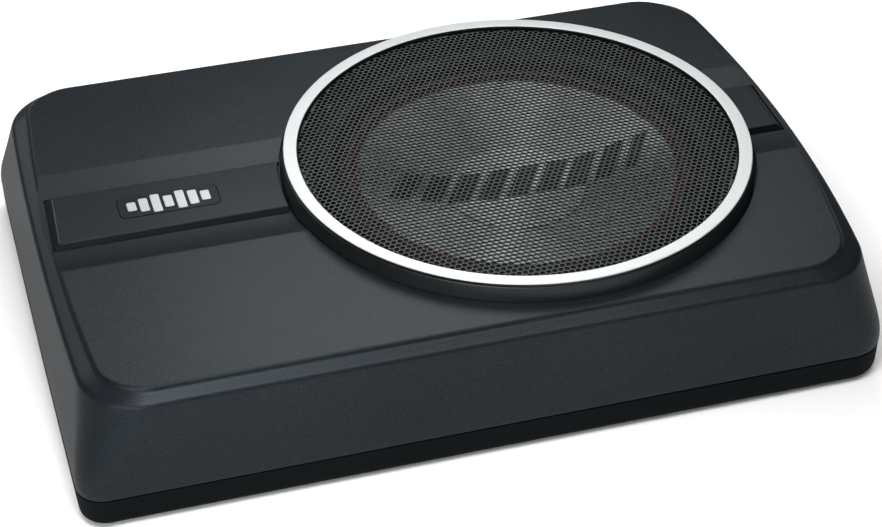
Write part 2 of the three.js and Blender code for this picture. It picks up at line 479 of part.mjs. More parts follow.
RCA_X.forEach((x, i) => put(panel, i ? 'rca_jack_right' : 'rca_jack_left', latheY(x, LOW_Z, [[0, BACK], [4.6, BACK], [4.6, 105.1], [5.6, 105.1], [5.6, 106.6],
  [4.15, 106.6], [4.15, 113.4], [3.5, 113.4], [3.5, 112.4], [1.7, 112.4], [1.7, 104], [0, 104]], 14), M.gold));
{ // fuse holder and pull-out blade fuse
  const hx0 = FUSE.x - FUSE.w / 2, hx1 = FUSE.x + FUSE.w / 2;
  let h = box(hx0, hx1, BACK, 108, HIGH_Z - FUSE.h / 2, HIGH_Z + FUSE.h / 2);
  h = cut(h, box(FUSE.x - 10, FUSE.x + 10, 103, 109, HIGH_Z - 2.9, HIGH_Z + 2.9));
  let f = box(FUSE.x - 9.6, FUSE.x + 9.6, 103.3, 111.5, HIGH_Z - 2.5, HIGH_Z + 2.5);
  for (const side of [-1, 1]) {
    const x = FUSE.x + side * 6.7;
    h = cut(h, box(x - 3.0, x + 3.0, 95.2, 104, HIGH_Z - 0.8, HIGH_Z + 0.8));
    f = join(f, box(x - 2.6, x + 2.6, 96, 104, HIGH_Z - 0.4, HIGH_Z + 0.4));
  }
  f = cut(f, box(FUSE.x - 4, FUSE.x + 4, 109.5, 112, HIGH_Z - 3, HIGH_Z - 1.5), box(FUSE.x - 4, FUSE.x + 4, 109.5, 112, HIGH_Z + 1.5, HIGH_Z + 3));
  put(panel, 'fuse_holder', h, M.socket);
  put(panel, 'blade_fuse', f, M.fuse);
}
put(panel, 'power_led', latheY(LED_X, HIGH_Z, [[0, BACK], [1.55, BACK], [1.55, 105.2], [1.2, 106.0], [0, 106.4]], 12), M.lens);
put(panel, 'phase_switch_body', cut(box(SWITCH.x - 7, SWITCH.x + 7, BACK, PANEL.y0 - GAP, HIGH_Z - 3.5, HIGH_Z + 3.5),
  box(SWITCH.x - 4.3, SWITCH.x + 4.3, 98.4, 104, HIGH_Z - 2.0, HIGH_Z + 2.0)), M.part);
put(panel, 'phase_switch_slider', box(SWITCH.x - 4, SWITCH.x, 98.8, 107.4, HIGH_Z - 1.7, HIGH_Z + 1.7), M.knob);
POT_X.forEach((x, i) => {
  const name = i ? 'level' : 'lowpass';
  put(panel, `${name}_pot`, join(box(x - 4.8, x + 4.8, BACK, 101.6, HIGH_Z - 4.8, HIGH_Z + 4.8), cylY(x, HIGH_Z, 2.8, 100, 110, 14)), M.steel);
  let k = latheY(x, HIGH_Z, [[3.15, KNOB.y0], [KNOB.r, KNOB.y0], [KNOB.r, KNOB.y1 - 0.8], [KNOB.r - 0.8, KNOB.y1], [0, KNOB.y1], [0, 110.4], [3.15, 110.4], [3.15, KNOB.y0]], 16);
  k = cut(k, box(x - 0.45, x + 0.45, KNOB.y1 - 0.5, KNOB.y1 + 2, HIGH_Z + 1.2, HIGH_Z + KNOB.r + 1));
  put(panel, `${name}_knob`, k, M.knob);
});

export default root;
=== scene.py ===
import math

import bmesh
import bpy
import numpy as np
from mathutils import Matrix, Vector


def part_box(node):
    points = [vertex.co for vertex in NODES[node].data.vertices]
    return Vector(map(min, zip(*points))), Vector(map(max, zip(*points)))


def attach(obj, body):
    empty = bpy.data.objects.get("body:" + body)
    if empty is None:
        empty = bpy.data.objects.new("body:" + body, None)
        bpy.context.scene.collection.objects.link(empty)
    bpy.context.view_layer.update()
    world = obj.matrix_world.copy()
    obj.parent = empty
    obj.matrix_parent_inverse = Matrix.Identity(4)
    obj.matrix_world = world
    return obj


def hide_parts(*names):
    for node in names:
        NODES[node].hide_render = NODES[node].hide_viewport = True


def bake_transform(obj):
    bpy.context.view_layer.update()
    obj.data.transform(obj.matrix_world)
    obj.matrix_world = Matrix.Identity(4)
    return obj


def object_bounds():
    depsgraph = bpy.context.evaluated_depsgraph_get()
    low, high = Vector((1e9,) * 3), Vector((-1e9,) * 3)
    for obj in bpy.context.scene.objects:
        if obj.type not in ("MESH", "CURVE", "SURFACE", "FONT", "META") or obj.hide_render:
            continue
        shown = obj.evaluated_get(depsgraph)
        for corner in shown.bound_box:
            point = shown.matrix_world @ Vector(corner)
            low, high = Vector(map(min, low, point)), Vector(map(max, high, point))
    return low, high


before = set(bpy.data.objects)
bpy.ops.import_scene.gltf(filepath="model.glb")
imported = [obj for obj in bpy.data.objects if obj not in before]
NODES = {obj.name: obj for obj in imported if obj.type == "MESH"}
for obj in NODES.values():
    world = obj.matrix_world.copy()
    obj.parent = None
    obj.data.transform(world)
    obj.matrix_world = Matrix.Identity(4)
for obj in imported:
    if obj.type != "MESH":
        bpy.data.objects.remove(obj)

MM = 0.001
CAD_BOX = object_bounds()
COLL = bpy.context.scene.collection


def centre(node):
    lo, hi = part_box(node)
    return (lo + hi) / 2


# --------------------------------------------------------------------------- camera
# the viewing angle of the reference view, in the row frame
YAW, PITCH = math.radians(16.23), math.radians(37.20)
fwd = Vector((math.sin(YAW) * math.cos(PITCH), math.cos(YAW) * math.cos(PITCH), -math.sin(PITCH)))
right = Vector((math.cos(YAW), -math.sin(YAW), 0.0))
up = right.cross(fwd)
cam_data = bpy.data.cameras.new("camera")
cam_data.sensor_width = 36.0
cam_data.lens = 94.09
cam_data.clip_start = 0.01
cam = bpy.data.objects.new("camera", cam_data)
COLL.objects.link(cam)
rot = Matrix((right, up, -fwd)).transposed().to_4x4()
cam.matrix_world = Matrix.Translation(Vector((-0.21794, -0.77412, 0.62144))) @ rot
bpy.context.scene.camera = cam

RING_C = centre("grille_ring")          # centre of grille and driver
CX, CY = RING_C.x / MM, RING_C.y / MM   # in millimetres

# --------------------------------------------------------------------------- mesh tools


def mesh_object(name, verts, faces):
    me = bpy.data.meshes.new(name)
    me.from_pydata([(float(x) * MM, float(y) * MM, float(z) * MM) for x, y, z in verts], [], faces)
    me.update()
    ob = bpy.data.objects.new(name, me)
    COLL.objects.link(ob)
    bm = bmesh.new()
    bm.from_mesh(me)
    bmesh.ops.recalc_face_normals(bm, faces=bm.faces)
    bm.to_mesh(me)
    bm.free()
    return ob


def apply_mods(ob):
    bpy.context.view_layer.update()
    dg = bpy.context.evaluated_depsgraph_get()
    me = bpy.data.meshes.new_from_object(ob.evaluated_get(dg))
    ob.modifiers.clear()
    old = ob.data
    ob.data = me
    bpy.data.meshes.remove(old)
    me.name = ob.name
    return ob


def remove(ob):
    me = ob.data
    bpy.data.objects.remove(ob)
    bpy.data.meshes.remove(me)


def boolean(ob, tools, operation="DIFFERENCE"):
    for tool in tools:
        m = ob.modifiers.new("b", "BOOLEAN")
        m.operation = operation
        m.solver = "EXACT"
        m.object = tool
        apply_mods(ob)
        remove(tool)
    return ob


def tidy(ob, dist=0.004):
    bm = bmesh.new()
    bm.from_mesh(ob.data)
    bmesh.ops.remove_doubles(bm, verts=bm.verts, dist=dist * MM)
    bmesh.ops.dissolve_degenerate(bm, edges=bm.edges, dist=dist * MM)
    bm.to_mesh(ob.data)
    bm.free()
    return ob


def bevel(ob, width, segments=2, angle=35, weighted=True):
    m = ob.modifiers.new("bevel", "BEVEL")
    m.width = width * MM
    m.segments = segments
    m.limit_method = "ANGLE"
    m.angle_limit = math.radians(angle)
    m.use_clamp_overlap = True
    m.miter_outer = "MITER_ARC"
    apply_mods(ob)
    return ob


def shade(ob, angle=30, weighted=True):
    me = ob.data
    me.polygons.foreach_set("use_smooth", [True] * len(me.polygons))
    me.set_sharp_from_angle(angle=math.radians(angle))
    if weighted:
        m = ob.modifiers.new("normals", "WEIGHTED_NORMAL")
        m.keep_sharp = True
        m.weight = 80
        m.mode = "FACE_AREA"
    me.update()
    return ob


def fillet(points, radius, k=4, closed=True):
    """2-D polyline with its corners rounded. radius may be one number or one per point."""
    n = len(points)
    pts = [np.array(p, float) for p in points]
    rad = [radius] * n if not hasattr(radius, "__len__") else list(radius)
    out = []
    for i in range(n):
        p = pts[i]
        if (not closed and i in (0, n - 1)) or rad[i] <= 0:
            out.append(tuple(p))
            continue
        a, b = pts[i - 1] - p, pts[(i + 1) % n] - p
        la, lb = np.linalg.norm(a), np.linalg.norm(b)
        a, b = a / la, b / lb
        cosang = np.clip(a @ b, -1, 1)
        half = math.acos(cosang) / 2
        if half > math.radians(89):
            out.append(tuple(p))
            continue
        t = rad[i] / math.tan(half)
        t = min(t, 0.48 * la, 0.48 * lb)
        for j in range(k + 1):
            s = j / k
            q = p + a * t * (1 - s) ** 2 + b * t * s ** 2
            out.append(tuple(q))
    return out


def lathe(name, profile, n=128, c=None, phase=0.0):
    """Closed skin of revolution about the driver's axis; profile of (radius, z)."""
    cx, cy = (CX, CY) if c is None else c
    prof = [tuple(p) for p in profile]
    on_axis = prof[0][0] < 1e-9 and prof[-1][0] < 1e-9
    verts, faces, rows = [], [], []
    for r, z in prof:
        if r < 1e-9:
            rows.append([len(verts)])
            verts.append((cx, cy, z))
        else:
            rows.append(list(range(len(verts), len(verts) + n)))
            for i in range(n):
                t = 2 * math.pi * i / n + phase
                verts.append((cx + r * math.cos(t), cy + r * math.sin(t), z))
    pairs = list(zip(rows, rows[1:])) + ([] if on_axis else [(rows[-1], rows[0])])
    for a, b in pairs:
        for i in range(n):
            j = (i + 1) % n
            if len(a) == 1 and len(b) == 1:
                continue
            if len(a) == 1:
                faces.append((a[0], b[j], b[i]))
            elif len(b) == 1:
                faces.append((a[i], a[j], b[0]))
            else:
                faces.append((a[i], a[j], b[j], b[i]))
    return mesh_object(name, verts, faces)


def lathe_y(name, x, z, profile, n=48, gear=None):
    """Skin of revolution about the +Y direction through (x, z); profile of (radius, y)."""
    ob = lathe(name, [(r, y) for r, y in profile], n, c=(0.0, 0.0))
    co = np.array([v.co for v in ob.data.vertices]) / MM
    if gear:
        rr = np.hypot(co[:, 0], co[:, 1])
        an = np.arctan2(co[:, 1], co[:, 0])
        k = 1 + gear(rr, an, co[:, 2]) / np.maximum(rr, 1e-6)
        co[:, 0] *= k
        co[:, 1] *= k
    new = np.stack([x + co[:, 0], co[:, 2], z - co[:, 1]], 1) * MM
    ob.data.vertices.foreach_set("co", new.astype(np.float32).ravel())
    ob.data.update()
    return ob


def loft(name, levels):
    """Closed skin through (outline, z) levels with equal point counts."""
    n = len(levels[0][0])
    verts, faces = [], []
    for pts, z in levels:
        verts += [(x, y, z) for x, y in pts]
    for k in range(len(levels) - 1):
        for i in range(n):
            j = (i + 1) % n
            faces.append((k * n + i, k * n + j, (k + 1) * n + j, (k + 1) * n + i))
    faces.append(tuple(reversed(range(n))))
    faces.append(tuple(range((len(levels) - 1) * n, len(levels) * n)))
    return mesh_object(name, verts, faces)


def prism(name, pts, lo, hi, axis="z"):
    """Straight prism of a 2-D outline: (x, y) along z, (y, z) along x, or (x, z) along y."""
    n = len(pts)
    verts = []
    for d in (lo, hi):
        for a, b in pts:
            verts.append((a, b, d) if axis == "z" else (d, a, b) if axis == "x" else (a, d, b))
    faces = [(i, (i + 1) % n, n + (i + 1) % n, n + i) for i in range(n)]
    faces += [tuple(reversed(range(n))), tuple(range(n, 2 * n))]
    return mesh_object(name, verts, faces)


def rect(x0, x1, y0, y1, r=0.0, k=5):
    pts = [(x0, y0), (x1, y0), (x1, y1), (x0, y1)]
    return fillet(pts, r, k) if r > 0 else pts


def soft_box(name, x0, x1, y0, y1, z0, z1, r=0.3):
    ob = prism(name, rect(x0, x1, y0, y1), z0, z1)
    return bevel(ob, r, 2, 40) if r else ob


def cyl(name, x, y, r, z0, z1, n=32):
    return prism(name, [(x + r * math.cos(2 * math.pi * i / n), y + r * math.sin(2 * math.pi * i / n)) for i in range(n)], z0, z1)


def cyl_y(name, x, z, r, y0, y1, n=32):
    return prism(name, [(x + r * math.cos(2 * math.pi * i / n), z + r * math.sin(2 * math.pi * i / n)) for i in range(n)], y0, y1, "y")


# --------------------------------------------------------------------------- materials


class Nodes:
    """Small helper to wire a procedural material."""

    def __init__(self, name):
        self.mat = bpy.data.materials.new(name)
        self.mat.use_nodes = True
        self.t = self.mat.node_tree
        self.t.nodes.clear()
        self.out = self.t.nodes.new("ShaderNodeOutputMaterial")
        self.b = self.t.nodes.new("ShaderNodeBsdfPrincipled")
        self.t.links.new(self.b.outputs[0], self.out.inputs[0])
        self.coord = self.t.nodes.new("ShaderNodeTexCoord")

    def add(self, kind, **props):
        n = self.t.nodes.new(kind)
        for k, v in props.items():
            setattr(n, k, v)
        return n

    def link(self, a, b):
        self.t.links.new(a, b)

    def noise(self, scale, detail=4.0, rough=0.55, vector=None, stretch=None):
        n = self.add("ShaderNodeTexNoise")
        n.inputs["Scale"].default_value = scale
        n.inputs["Detail"].default_value = detail
        n.inputs["Roughness"].default_value = rough
        v = vector or self.coord.outputs["Object"]
        if stretch:
            mp = self.add("ShaderNodeMapping")
            mp.inputs["Scale"].default_value = stretch
            self.link(v, mp.inputs["Vector"])
            v = mp.outputs[0]
        self.link(v, n.inputs["Vector"])
        return n.outputs["Fac"]

    def remap(self, value, a, b, lo, hi):
        m = self.add("ShaderNodeMapRange")
        m.inputs["From Min"].default_value = a
        m.inputs["From Max"].default_value = b
        m.inputs["To Min"].default_value = lo
        m.inputs["To Max"].default_value = hi
        self.link(value, m.inputs["Value"])
        return m.outputs[0]

    def math(self, op, a, b=None):
        m = self.add("ShaderNodeMath", operation=op)
        for i, v in enumerate((a, b)):
            if v is None:
                continue
            if isinstance(v, (int, float)):
                m.inputs[i].default_value = v
            else:
                self.link(v, m.inputs[i])
        return m.outputs[0]

    def mix(self, fac, a, b):
        m = self.add("ShaderNodeMix", data_type="RGBA")
        if isinstance(fac, (int, float)):
            m.inputs[0].default_value = fac
        else:
            self.link(fac, m.inputs[0])
        for i, v in ((6, a), (7, b)):
            if isinstance(v, (tuple, list)):
                m.inputs[i].default_value = (*v[:3], 1.0)
            else:
                self.link(v, m.inputs[i])
        return m.outputs[2]

    def bump(self, height, strength, distance, normal=None):
        n = self.add("ShaderNodeBump")
        n.inputs["Strength"].default_value = strength
        n.inputs["Distance"].default_value = distance
        self.link(height, n.inputs["Height"])
        if normal is not None:
            self.link(normal, n.inputs["Normal"])
        return n.outputs[0]


def plastic(name, colour, rough=0.55, grain=1500.0, bump=0.25, vary=0.12, spec=0.5, depth=0.00006, tint=None, sheen=1.0, painted_side_shade=1.0, speckle=0.13):
    """Moulded plastic: fine etched grain in the bump and roughness, faint cloudy tone.
    A side factor below 1 paints shade on the steep sides (darker colour and less gloss) and a painted highlight, a thin
    line of stronger gloss, on the rounded top edge."""
    m = Nodes(name)
    fine = m.noise(grain, 3.0, 0.6)
    mid = m.noise(grain * 0.22, 3.0, 0.6)
    cloud = m.noise(9.0, 4.0, 0.5)
    dark = tuple(c * (1 - vary) for c in colour)
    light = tuple(min(1, c * (1 + vary)) for c in (tint or colour))
    c1 = m.mix(m.remap(cloud, 0.3, 0.7, 0.0, 1.0), dark, light)
    speck = m.remap(fine, 0.35, 0.7, 1 - speckle, 1 + speckle)
    hsv = m.add("ShaderNodeHueSaturation")
    m.link(c1, hsv.inputs["Color"])
    m.link(speck, hsv.inputs["Value"])
    m.link(hsv.outputs[0], m.b.inputs["Base Color"])
    r = m.math("ADD", m.remap(fine, 0.3, 0.7, rough - 0.05, rough + 0.05), m.remap(cloud, 0.3, 0.7, -0.02, 0.03))
    m.link(r, m.b.inputs["Roughness"])
    m.b.inputs["Specular IOR Level"].default_value = spec
    n1 = m.bump(mid, bump * 0.6, depth * 2)
    n2 = m.bump(fine, bump, depth, n1)
    m.link(n2, m.b.inputs["Normal"])
    if sheen < 1.0:                            # a worn, dusty film that holds part of the surface matt
        matt = m.add("ShaderNodeBsdfPrincipled")
        m.link(hsv.outputs[0], matt.inputs["Base Color"])
        m.link(r, matt.inputs["Roughness"])
        m.link(n2, matt.inputs["Normal"])
        matt.inputs["Specular IOR Level"].default_value = 0.0
        mixer = m.add("ShaderNodeMixShader")
        amount = m.remap(cloud, 0.3, 0.7, sheen * 0.92, sheen * 1.08)
        amount = m.math("MULTIPLY", amount, m.remap(fine, 0.35, 0.7, 1 - 0.9 * speckle, 1 + 0.9 * speckle))
        if painted_side_shade < 1.0:
            geo = m.add("ShaderNodeNewGeometry")
            nz = m.add("ShaderNodeSeparateXYZ")
            m.link(geo.outputs["Normal"], nz.inputs[0])
            # painted shade: steep sides get a darker colour and less gloss
            up = m.remap(nz.outputs[2], 0.70, 0.86, painted_side_shade, 1.0)
            # painted highlight: a band of stronger gloss along the rounded top edge
            edge = m.math("MULTIPLY", m.remap(nz.outputs[2], 0.72, 0.82, 0.0, 1.0), m.remap(nz.outputs[2], 0.95, 0.985, 1.0, 0.0))
            amount = m.math("MULTIPLY", amount, m.math("ADD", up, m.math("MULTIPLY", edge, 0.7)))
            m.link(m.math("MULTIPLY", speck, up), hsv.inputs["Value"])
        m.link(amount, mixer.inputs[0])
        m.link(matt.outputs[0], mixer.inputs[1])
        m.link(m.b.outputs[0], mixer.inputs[2])
        m.link(mixer.outputs[0], m.out.inputs[0])
        m.b.inputs["Specular Tint"].default_value = (0.80, 0.93, 1.0, 1.0)
    return m.mat


def metal(name, colour, rough=0.3, grain=2000.0, bump=0.12, vary=0.05, metallic=1.0, stretch=None, aniso=0.0):
    m = Nodes(name)
    fine = m.noise(grain, 3.0, 0.6, stretch=stretch)
    cloud = m.noise(14.0, 3.0, 0.5)
    dark = tuple(c * (1 - vary) for c in colour)
    light = tuple(min(1, c * (1 + vary)) for c in colour)
    c1 = m.mix(m.remap(cloud, 0.3, 0.7, 0.0, 1.0), dark, light)
    c2 = m.mix(m.remap(fine, 0.35, 0.7, 0.0, 0.35), c1, tuple(min(1, c * 1.12) for c in colour))
    m.link(c2, m.b.inputs["Base Color"])
    m.b.inputs["Metallic"].default_value = metallic
    m.link(m.remap(fine, 0.3, 0.7, max(0.02, rough - 0.06), rough + 0.06), m.b.inputs["Roughness"])
    m.link(m.bump(fine, bump, 0.00004), m.b.inputs["Normal"])
    if aniso:
        m.b.inputs["Anisotropic"].default_value = aniso
    return m.mat


def rubber(name, colour, rough=0.75, grain=900.0, bump=0.3):
    m = Nodes(name)
    fine = m.noise(grain, 5.0, 0.65)
    dust = m.noise(45.0, 4.0, 0.6)
    c = m.mix(m.remap(dust, 0.55, 0.75, 0.0, 0.35), colour, tuple(min(1, x * 1.9 + 0.006) for x in colour))
    m.link(c, m.b.inputs["Base Color"])
    m.link(m.remap(fine, 0.3, 0.7, rough - 0.08, rough + 0.08), m.b.inputs["Roughness"])
    m.b.inputs["Specular IOR Level"].default_value = 0.35
    m.link(m.bump(fine, bump, 0.00008), m.b.inputs["Normal"])
    return m.mat


def paint(ob, mat):
    ob.data.materials.clear()
    ob.data.materials.append(mat)
    return ob


def piece(ob, body, slot, mat, *nodes):
    paint(ob, mat)
    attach(ob, body)
    if nodes:
        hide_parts(*nodes)
    return ob


BODY = "enclosure"

HOUSING = plastic("housing_charcoal", (0.0080, 0.0102, 0.0124), 0.37, 1500, 0.35, 0.10, 0.4, sheen=0.41, speckle=0.24)
TRAY = plastic("tray_black", (0.0022, 0.0031, 0.0032), 0.45, 1300, 0.35, 0.12, 0.4, sheen=0.14)
TRIM = plastic("trim_charcoal", (0.0062, 0.0084, 0.0094), 0.34, 1800, 0.22, 0.08, 0.4, sheen=0.37)
# painted shade on the bars' steep sides and a painted highlight along their top edge
TRIM_BAR = plastic("trim_bar_charcoal", (0.0062, 0.0084, 0.0094), 0.34, 1800, 0.22, 0.08, 0.4, sheen=0.37, painted_side_shade=0.45)
FRAME = plastic("frame_black", (0.0085, 0.0090, 0.0096), 0.34, 1600, 0.10, 0.1, 0.4, sheen=0.9)


def ring_material():
    """Satin trim ring: bright flat face, with painted shade on the inner and outer flanks, which are coloured
    near-black.
    """
    m = Nodes("ring_satin_aluminium")
    geo = m.add("ShaderNodeNewGeometry")
    sp = m.add("ShaderNodeSeparateXYZ")
    m.link(geo.outputs["Normal"], sp.inputs[0])
    # painted shade: faces not turned up get a near-black colour and no metal
    face = m.remap(sp.outputs[2], 0.10, 0.45, 0.0, 1.0)
    fine = m.noise(2600.0, 3.0, 0.6)
    cloud = m.noise(14.0, 3.0, 0.5)
    silver = m.mix(m.remap(cloud, 0.3, 0.7, 0.0, 1.0), (0.395, 0.412, 0.414), (0.415, 0.433, 0.435))
    silver = m.mix(m.remap(fine, 0.35, 0.7, 0.0, 0.35), silver, (0.45, 0.468, 0.47))
    m.link(m.mix(face, (0.006, 0.0065, 0.007), silver), m.b.inputs["Base Color"])
    m.link(m.math("MULTIPLY", face, 0.42), m.b.inputs["Metallic"])
    m.link(m.remap(fine, 0.3, 0.7, 0.36, 0.48), m.b.inputs["Roughness"])
    m.link(m.bump(fine, 0.10, 0.00004), m.b.inputs["Normal"])
    return m.mat


SILVER = ring_material()
BADGE_SILVER = metal("badge_silver", (0.33, 0.35, 0.36), 0.36, 2400, 0.10, 0.02, 0.4)
BADGE_DARK = plastic("badge_field", (0.0052, 0.0070, 0.0080), 0.34, 1800, 0.2, 0.08, 0.4, sheen=0.33)
RUBBER = rubber("foot_rubber", (0.008, 0.008, 0.0085))
SURROUND = rubber("surround_rubber", (0.003, 0.003, 0.0032), 0.6, 700, 0.25)


def mesh_material():
    """Perforated sheet: light coated face; painted shade makes the hole walls, the underside and a band at the rim
    near-black.
    """
    m = Nodes("grille_coating")
    geo = m.add("ShaderNodeNewGeometry")
    sp = m.add("ShaderNodeSeparateXYZ")
    m.link(geo.outputs["True Normal"], sp.inputs[0])
    # painted shade: faces not turned up (hole walls, underside) get a near-black colour
    face = m.remap(sp.outputs[2], 0.35, 0.75, 0.0, 1.0)
    fine = m.noise(2500.0, 3.0, 0.6)
    cloud = m.noise(30.0, 3.0, 0.5)
    light = m.mix(m.remap(cloud, 0.3, 0.7, 0.0, 1.0), (0.050, 0.057, 0.055), (0.060, 0.068, 0.066))
    mp = m.add("ShaderNodeMapping", vector_type="POINT")
    mp.inputs["Location"].default_value = (-RING_C.x, -RING_C.y, 0.0)
    m.link(m.coord.outputs["Object"], mp.inputs["Vector"])
    xy = m.add("ShaderNodeSeparateXYZ")
    m.link(mp.outputs[0], xy.inputs[0])
    rad = m.math("SQRT", m.math("ADD", m.math("MULTIPLY", xy.outputs[0], xy.outputs[0]), m.math("MULTIPLY", xy.outputs[1], xy.outputs[1])))
    face = m.math("MULTIPLY", face, m.remap(rad, 0.0926, 0.0938, 1.0, 0.0))   # painted shade: black band at the rim, next to the ring
    m.link(m.mix(face, (0.0008, 0.0008, 0.0008), light), m.b.inputs["Base Color"])
    m.link(m.math("MULTIPLY", face, 0.22), m.b.inputs["Metallic"])
    m.link(m.math("SUBTRACT", m.remap(fine, 0.3, 0.7, 0.86, 0.94), m.math("MULTIPLY", face, 0.48)), m.b.inputs["Roughness"])
    m.b.inputs["Specular IOR Level"].default_value = 0.15
    m.link(m.bump(fine, 0.1, 0.00004), m.b.inputs["Normal"])
    return m.mat


MESH_PAINT = mesh_material()
SCREW = metal("screw_black_steel", (0.10, 0.10, 0.105), 0.36, 1500, 0.15, 0.1, 0.9)

# --------------------------------------------------------------------------- enclosure outlines
KEYS = ("z", "a", "xl", "xr", "sl", "sr", "rl", "rr")
P = np.array([60.3, 107.7, -159.2, 160.7, 5.9, 12.9, 20.0, 22.3])
G = np.array([55.6, 113.3, -165.9, 166.1, 4.0, 9.8, 27.0, 25.3])
W = np.array([22.2, 116.9, -170.6, 170.6, 0.5, 3.5, 11.4, 16.2])


def inset(v, d, z=None):
    w = v.copy()
    w[1] -= d
    w[2] += d
    w[3] -= d
    w[6] = max(w[6] - d, 2.0)
    w[7] = max(w[7] - d, 2.0)
    if z is not None:
        w[0] = z
    return w


def lerp(a, b, t):
    return a * (1 - t) + b * t


def quad(a, c, b, k):
    return [a * (1 - t) ** 2 + 2 * c * t * (1 - t) + b * t * t for t in np.linspace(0, 1, k + 1)]


def bowed_end(a, l, s, r, n, m):
    s = max(s, 0.05)
    R = (a * a + s * s) / (2 * s)
    cx = l - R
    fx = cx + math.sqrt((R - r) ** 2 - (a - r) ** 2)
    fy = -(a - r)
    th = math.atan2(fy, fx - cx)
    pts = []
    for i in range(n):
        t = -math.pi / 2 + (th + math.pi / 2) * i / n
        pts.append((fx + r * math.cos(t), fy + r * math.sin(t)))
    for i in range(m + 1):
        t = th - 2 * th * i / m
        pts.append((cx + R * math.cos(t), R * math.sin(t)))
    for i in range(1, n + 1):
        t = -th + (math.pi / 2 + th) * i / n
        pts.append((fx + r * math.cos(t), -fy + r * math.sin(t)))
    return pts


def outline(v, n=14, m=20, straight=14):
    _, a, xl, xr, sl, sr, rl, rr = v
    rgt = bowed_end(a, xr, sr, rr, n, m)
    lft = [(-x, -y) for x, y in bowed_end(a, -xl, sl, rl, n, m)]
    back = [tuple(np.array(rgt[-1]) * (1 - t) + np.array(lft[0]) * t) for t in np.linspace(0, 1, straight + 2)[1:-1]]
    front = [tuple(np.array(lft[-1]) * (1 - t) + np.array(rgt[0]) * t) for t in np.linspace(0, 1, straight + 2)[1:-1]]
    return rgt + back + lft + front


def stack(vectors, **kw):
    return [(outline(v, **kw), v[0]) for v in vectors]


# valley across the top
VY0, VY1, VD, VP = -27.0, 41.5, 2.45, 3.2


def valley_z(y):
    mid, half = (VY0 + VY1) / 2, (VY1 - VY0) / 2
    s = half - abs(y - mid)                    # distance inside the lip
    slope = VD * VP / half
    d_in = VD * (1 - min(1.0, abs(y - mid) / half) ** VP)
    soft = 0.9
    if abs(s) < soft:
        d_in = (s + soft) ** 2 / (4 * soft) * slope
    elif s <= -soft:
        d_in = -0.03
    return 60.3 - d_in


BAR = dict(y0=-8.1, y1=24.4, z0=57.2, z1=60.3, side=1.8, end=3.0, rEnd=102.8, lb=-155.0, lf=-156.7, re=157.8)


def bar_outline(sgn, d, e, r_end, corner=0.9, k=4):
    y0, y1 = BAR["y0"] - d, BAR["y1"] + d
    arc = [(CX + sgn * math.sqrt(r_end ** 2 - y * y), y) for y in np.linspace(y0, y1, 25)]
    if sgn < 0:
        pts = arc + [(BAR["lb"] - e, y1), (BAR["lf"] - e, y0)]
    else:
        pts = arc[::-1] + [(BAR["re"] + e, y0), (BAR["re"] + e, y1)]
    rad = [0.35] + [0] * 23 + [0.35] + [corner, corner]
    return fillet(pts, rad, k)


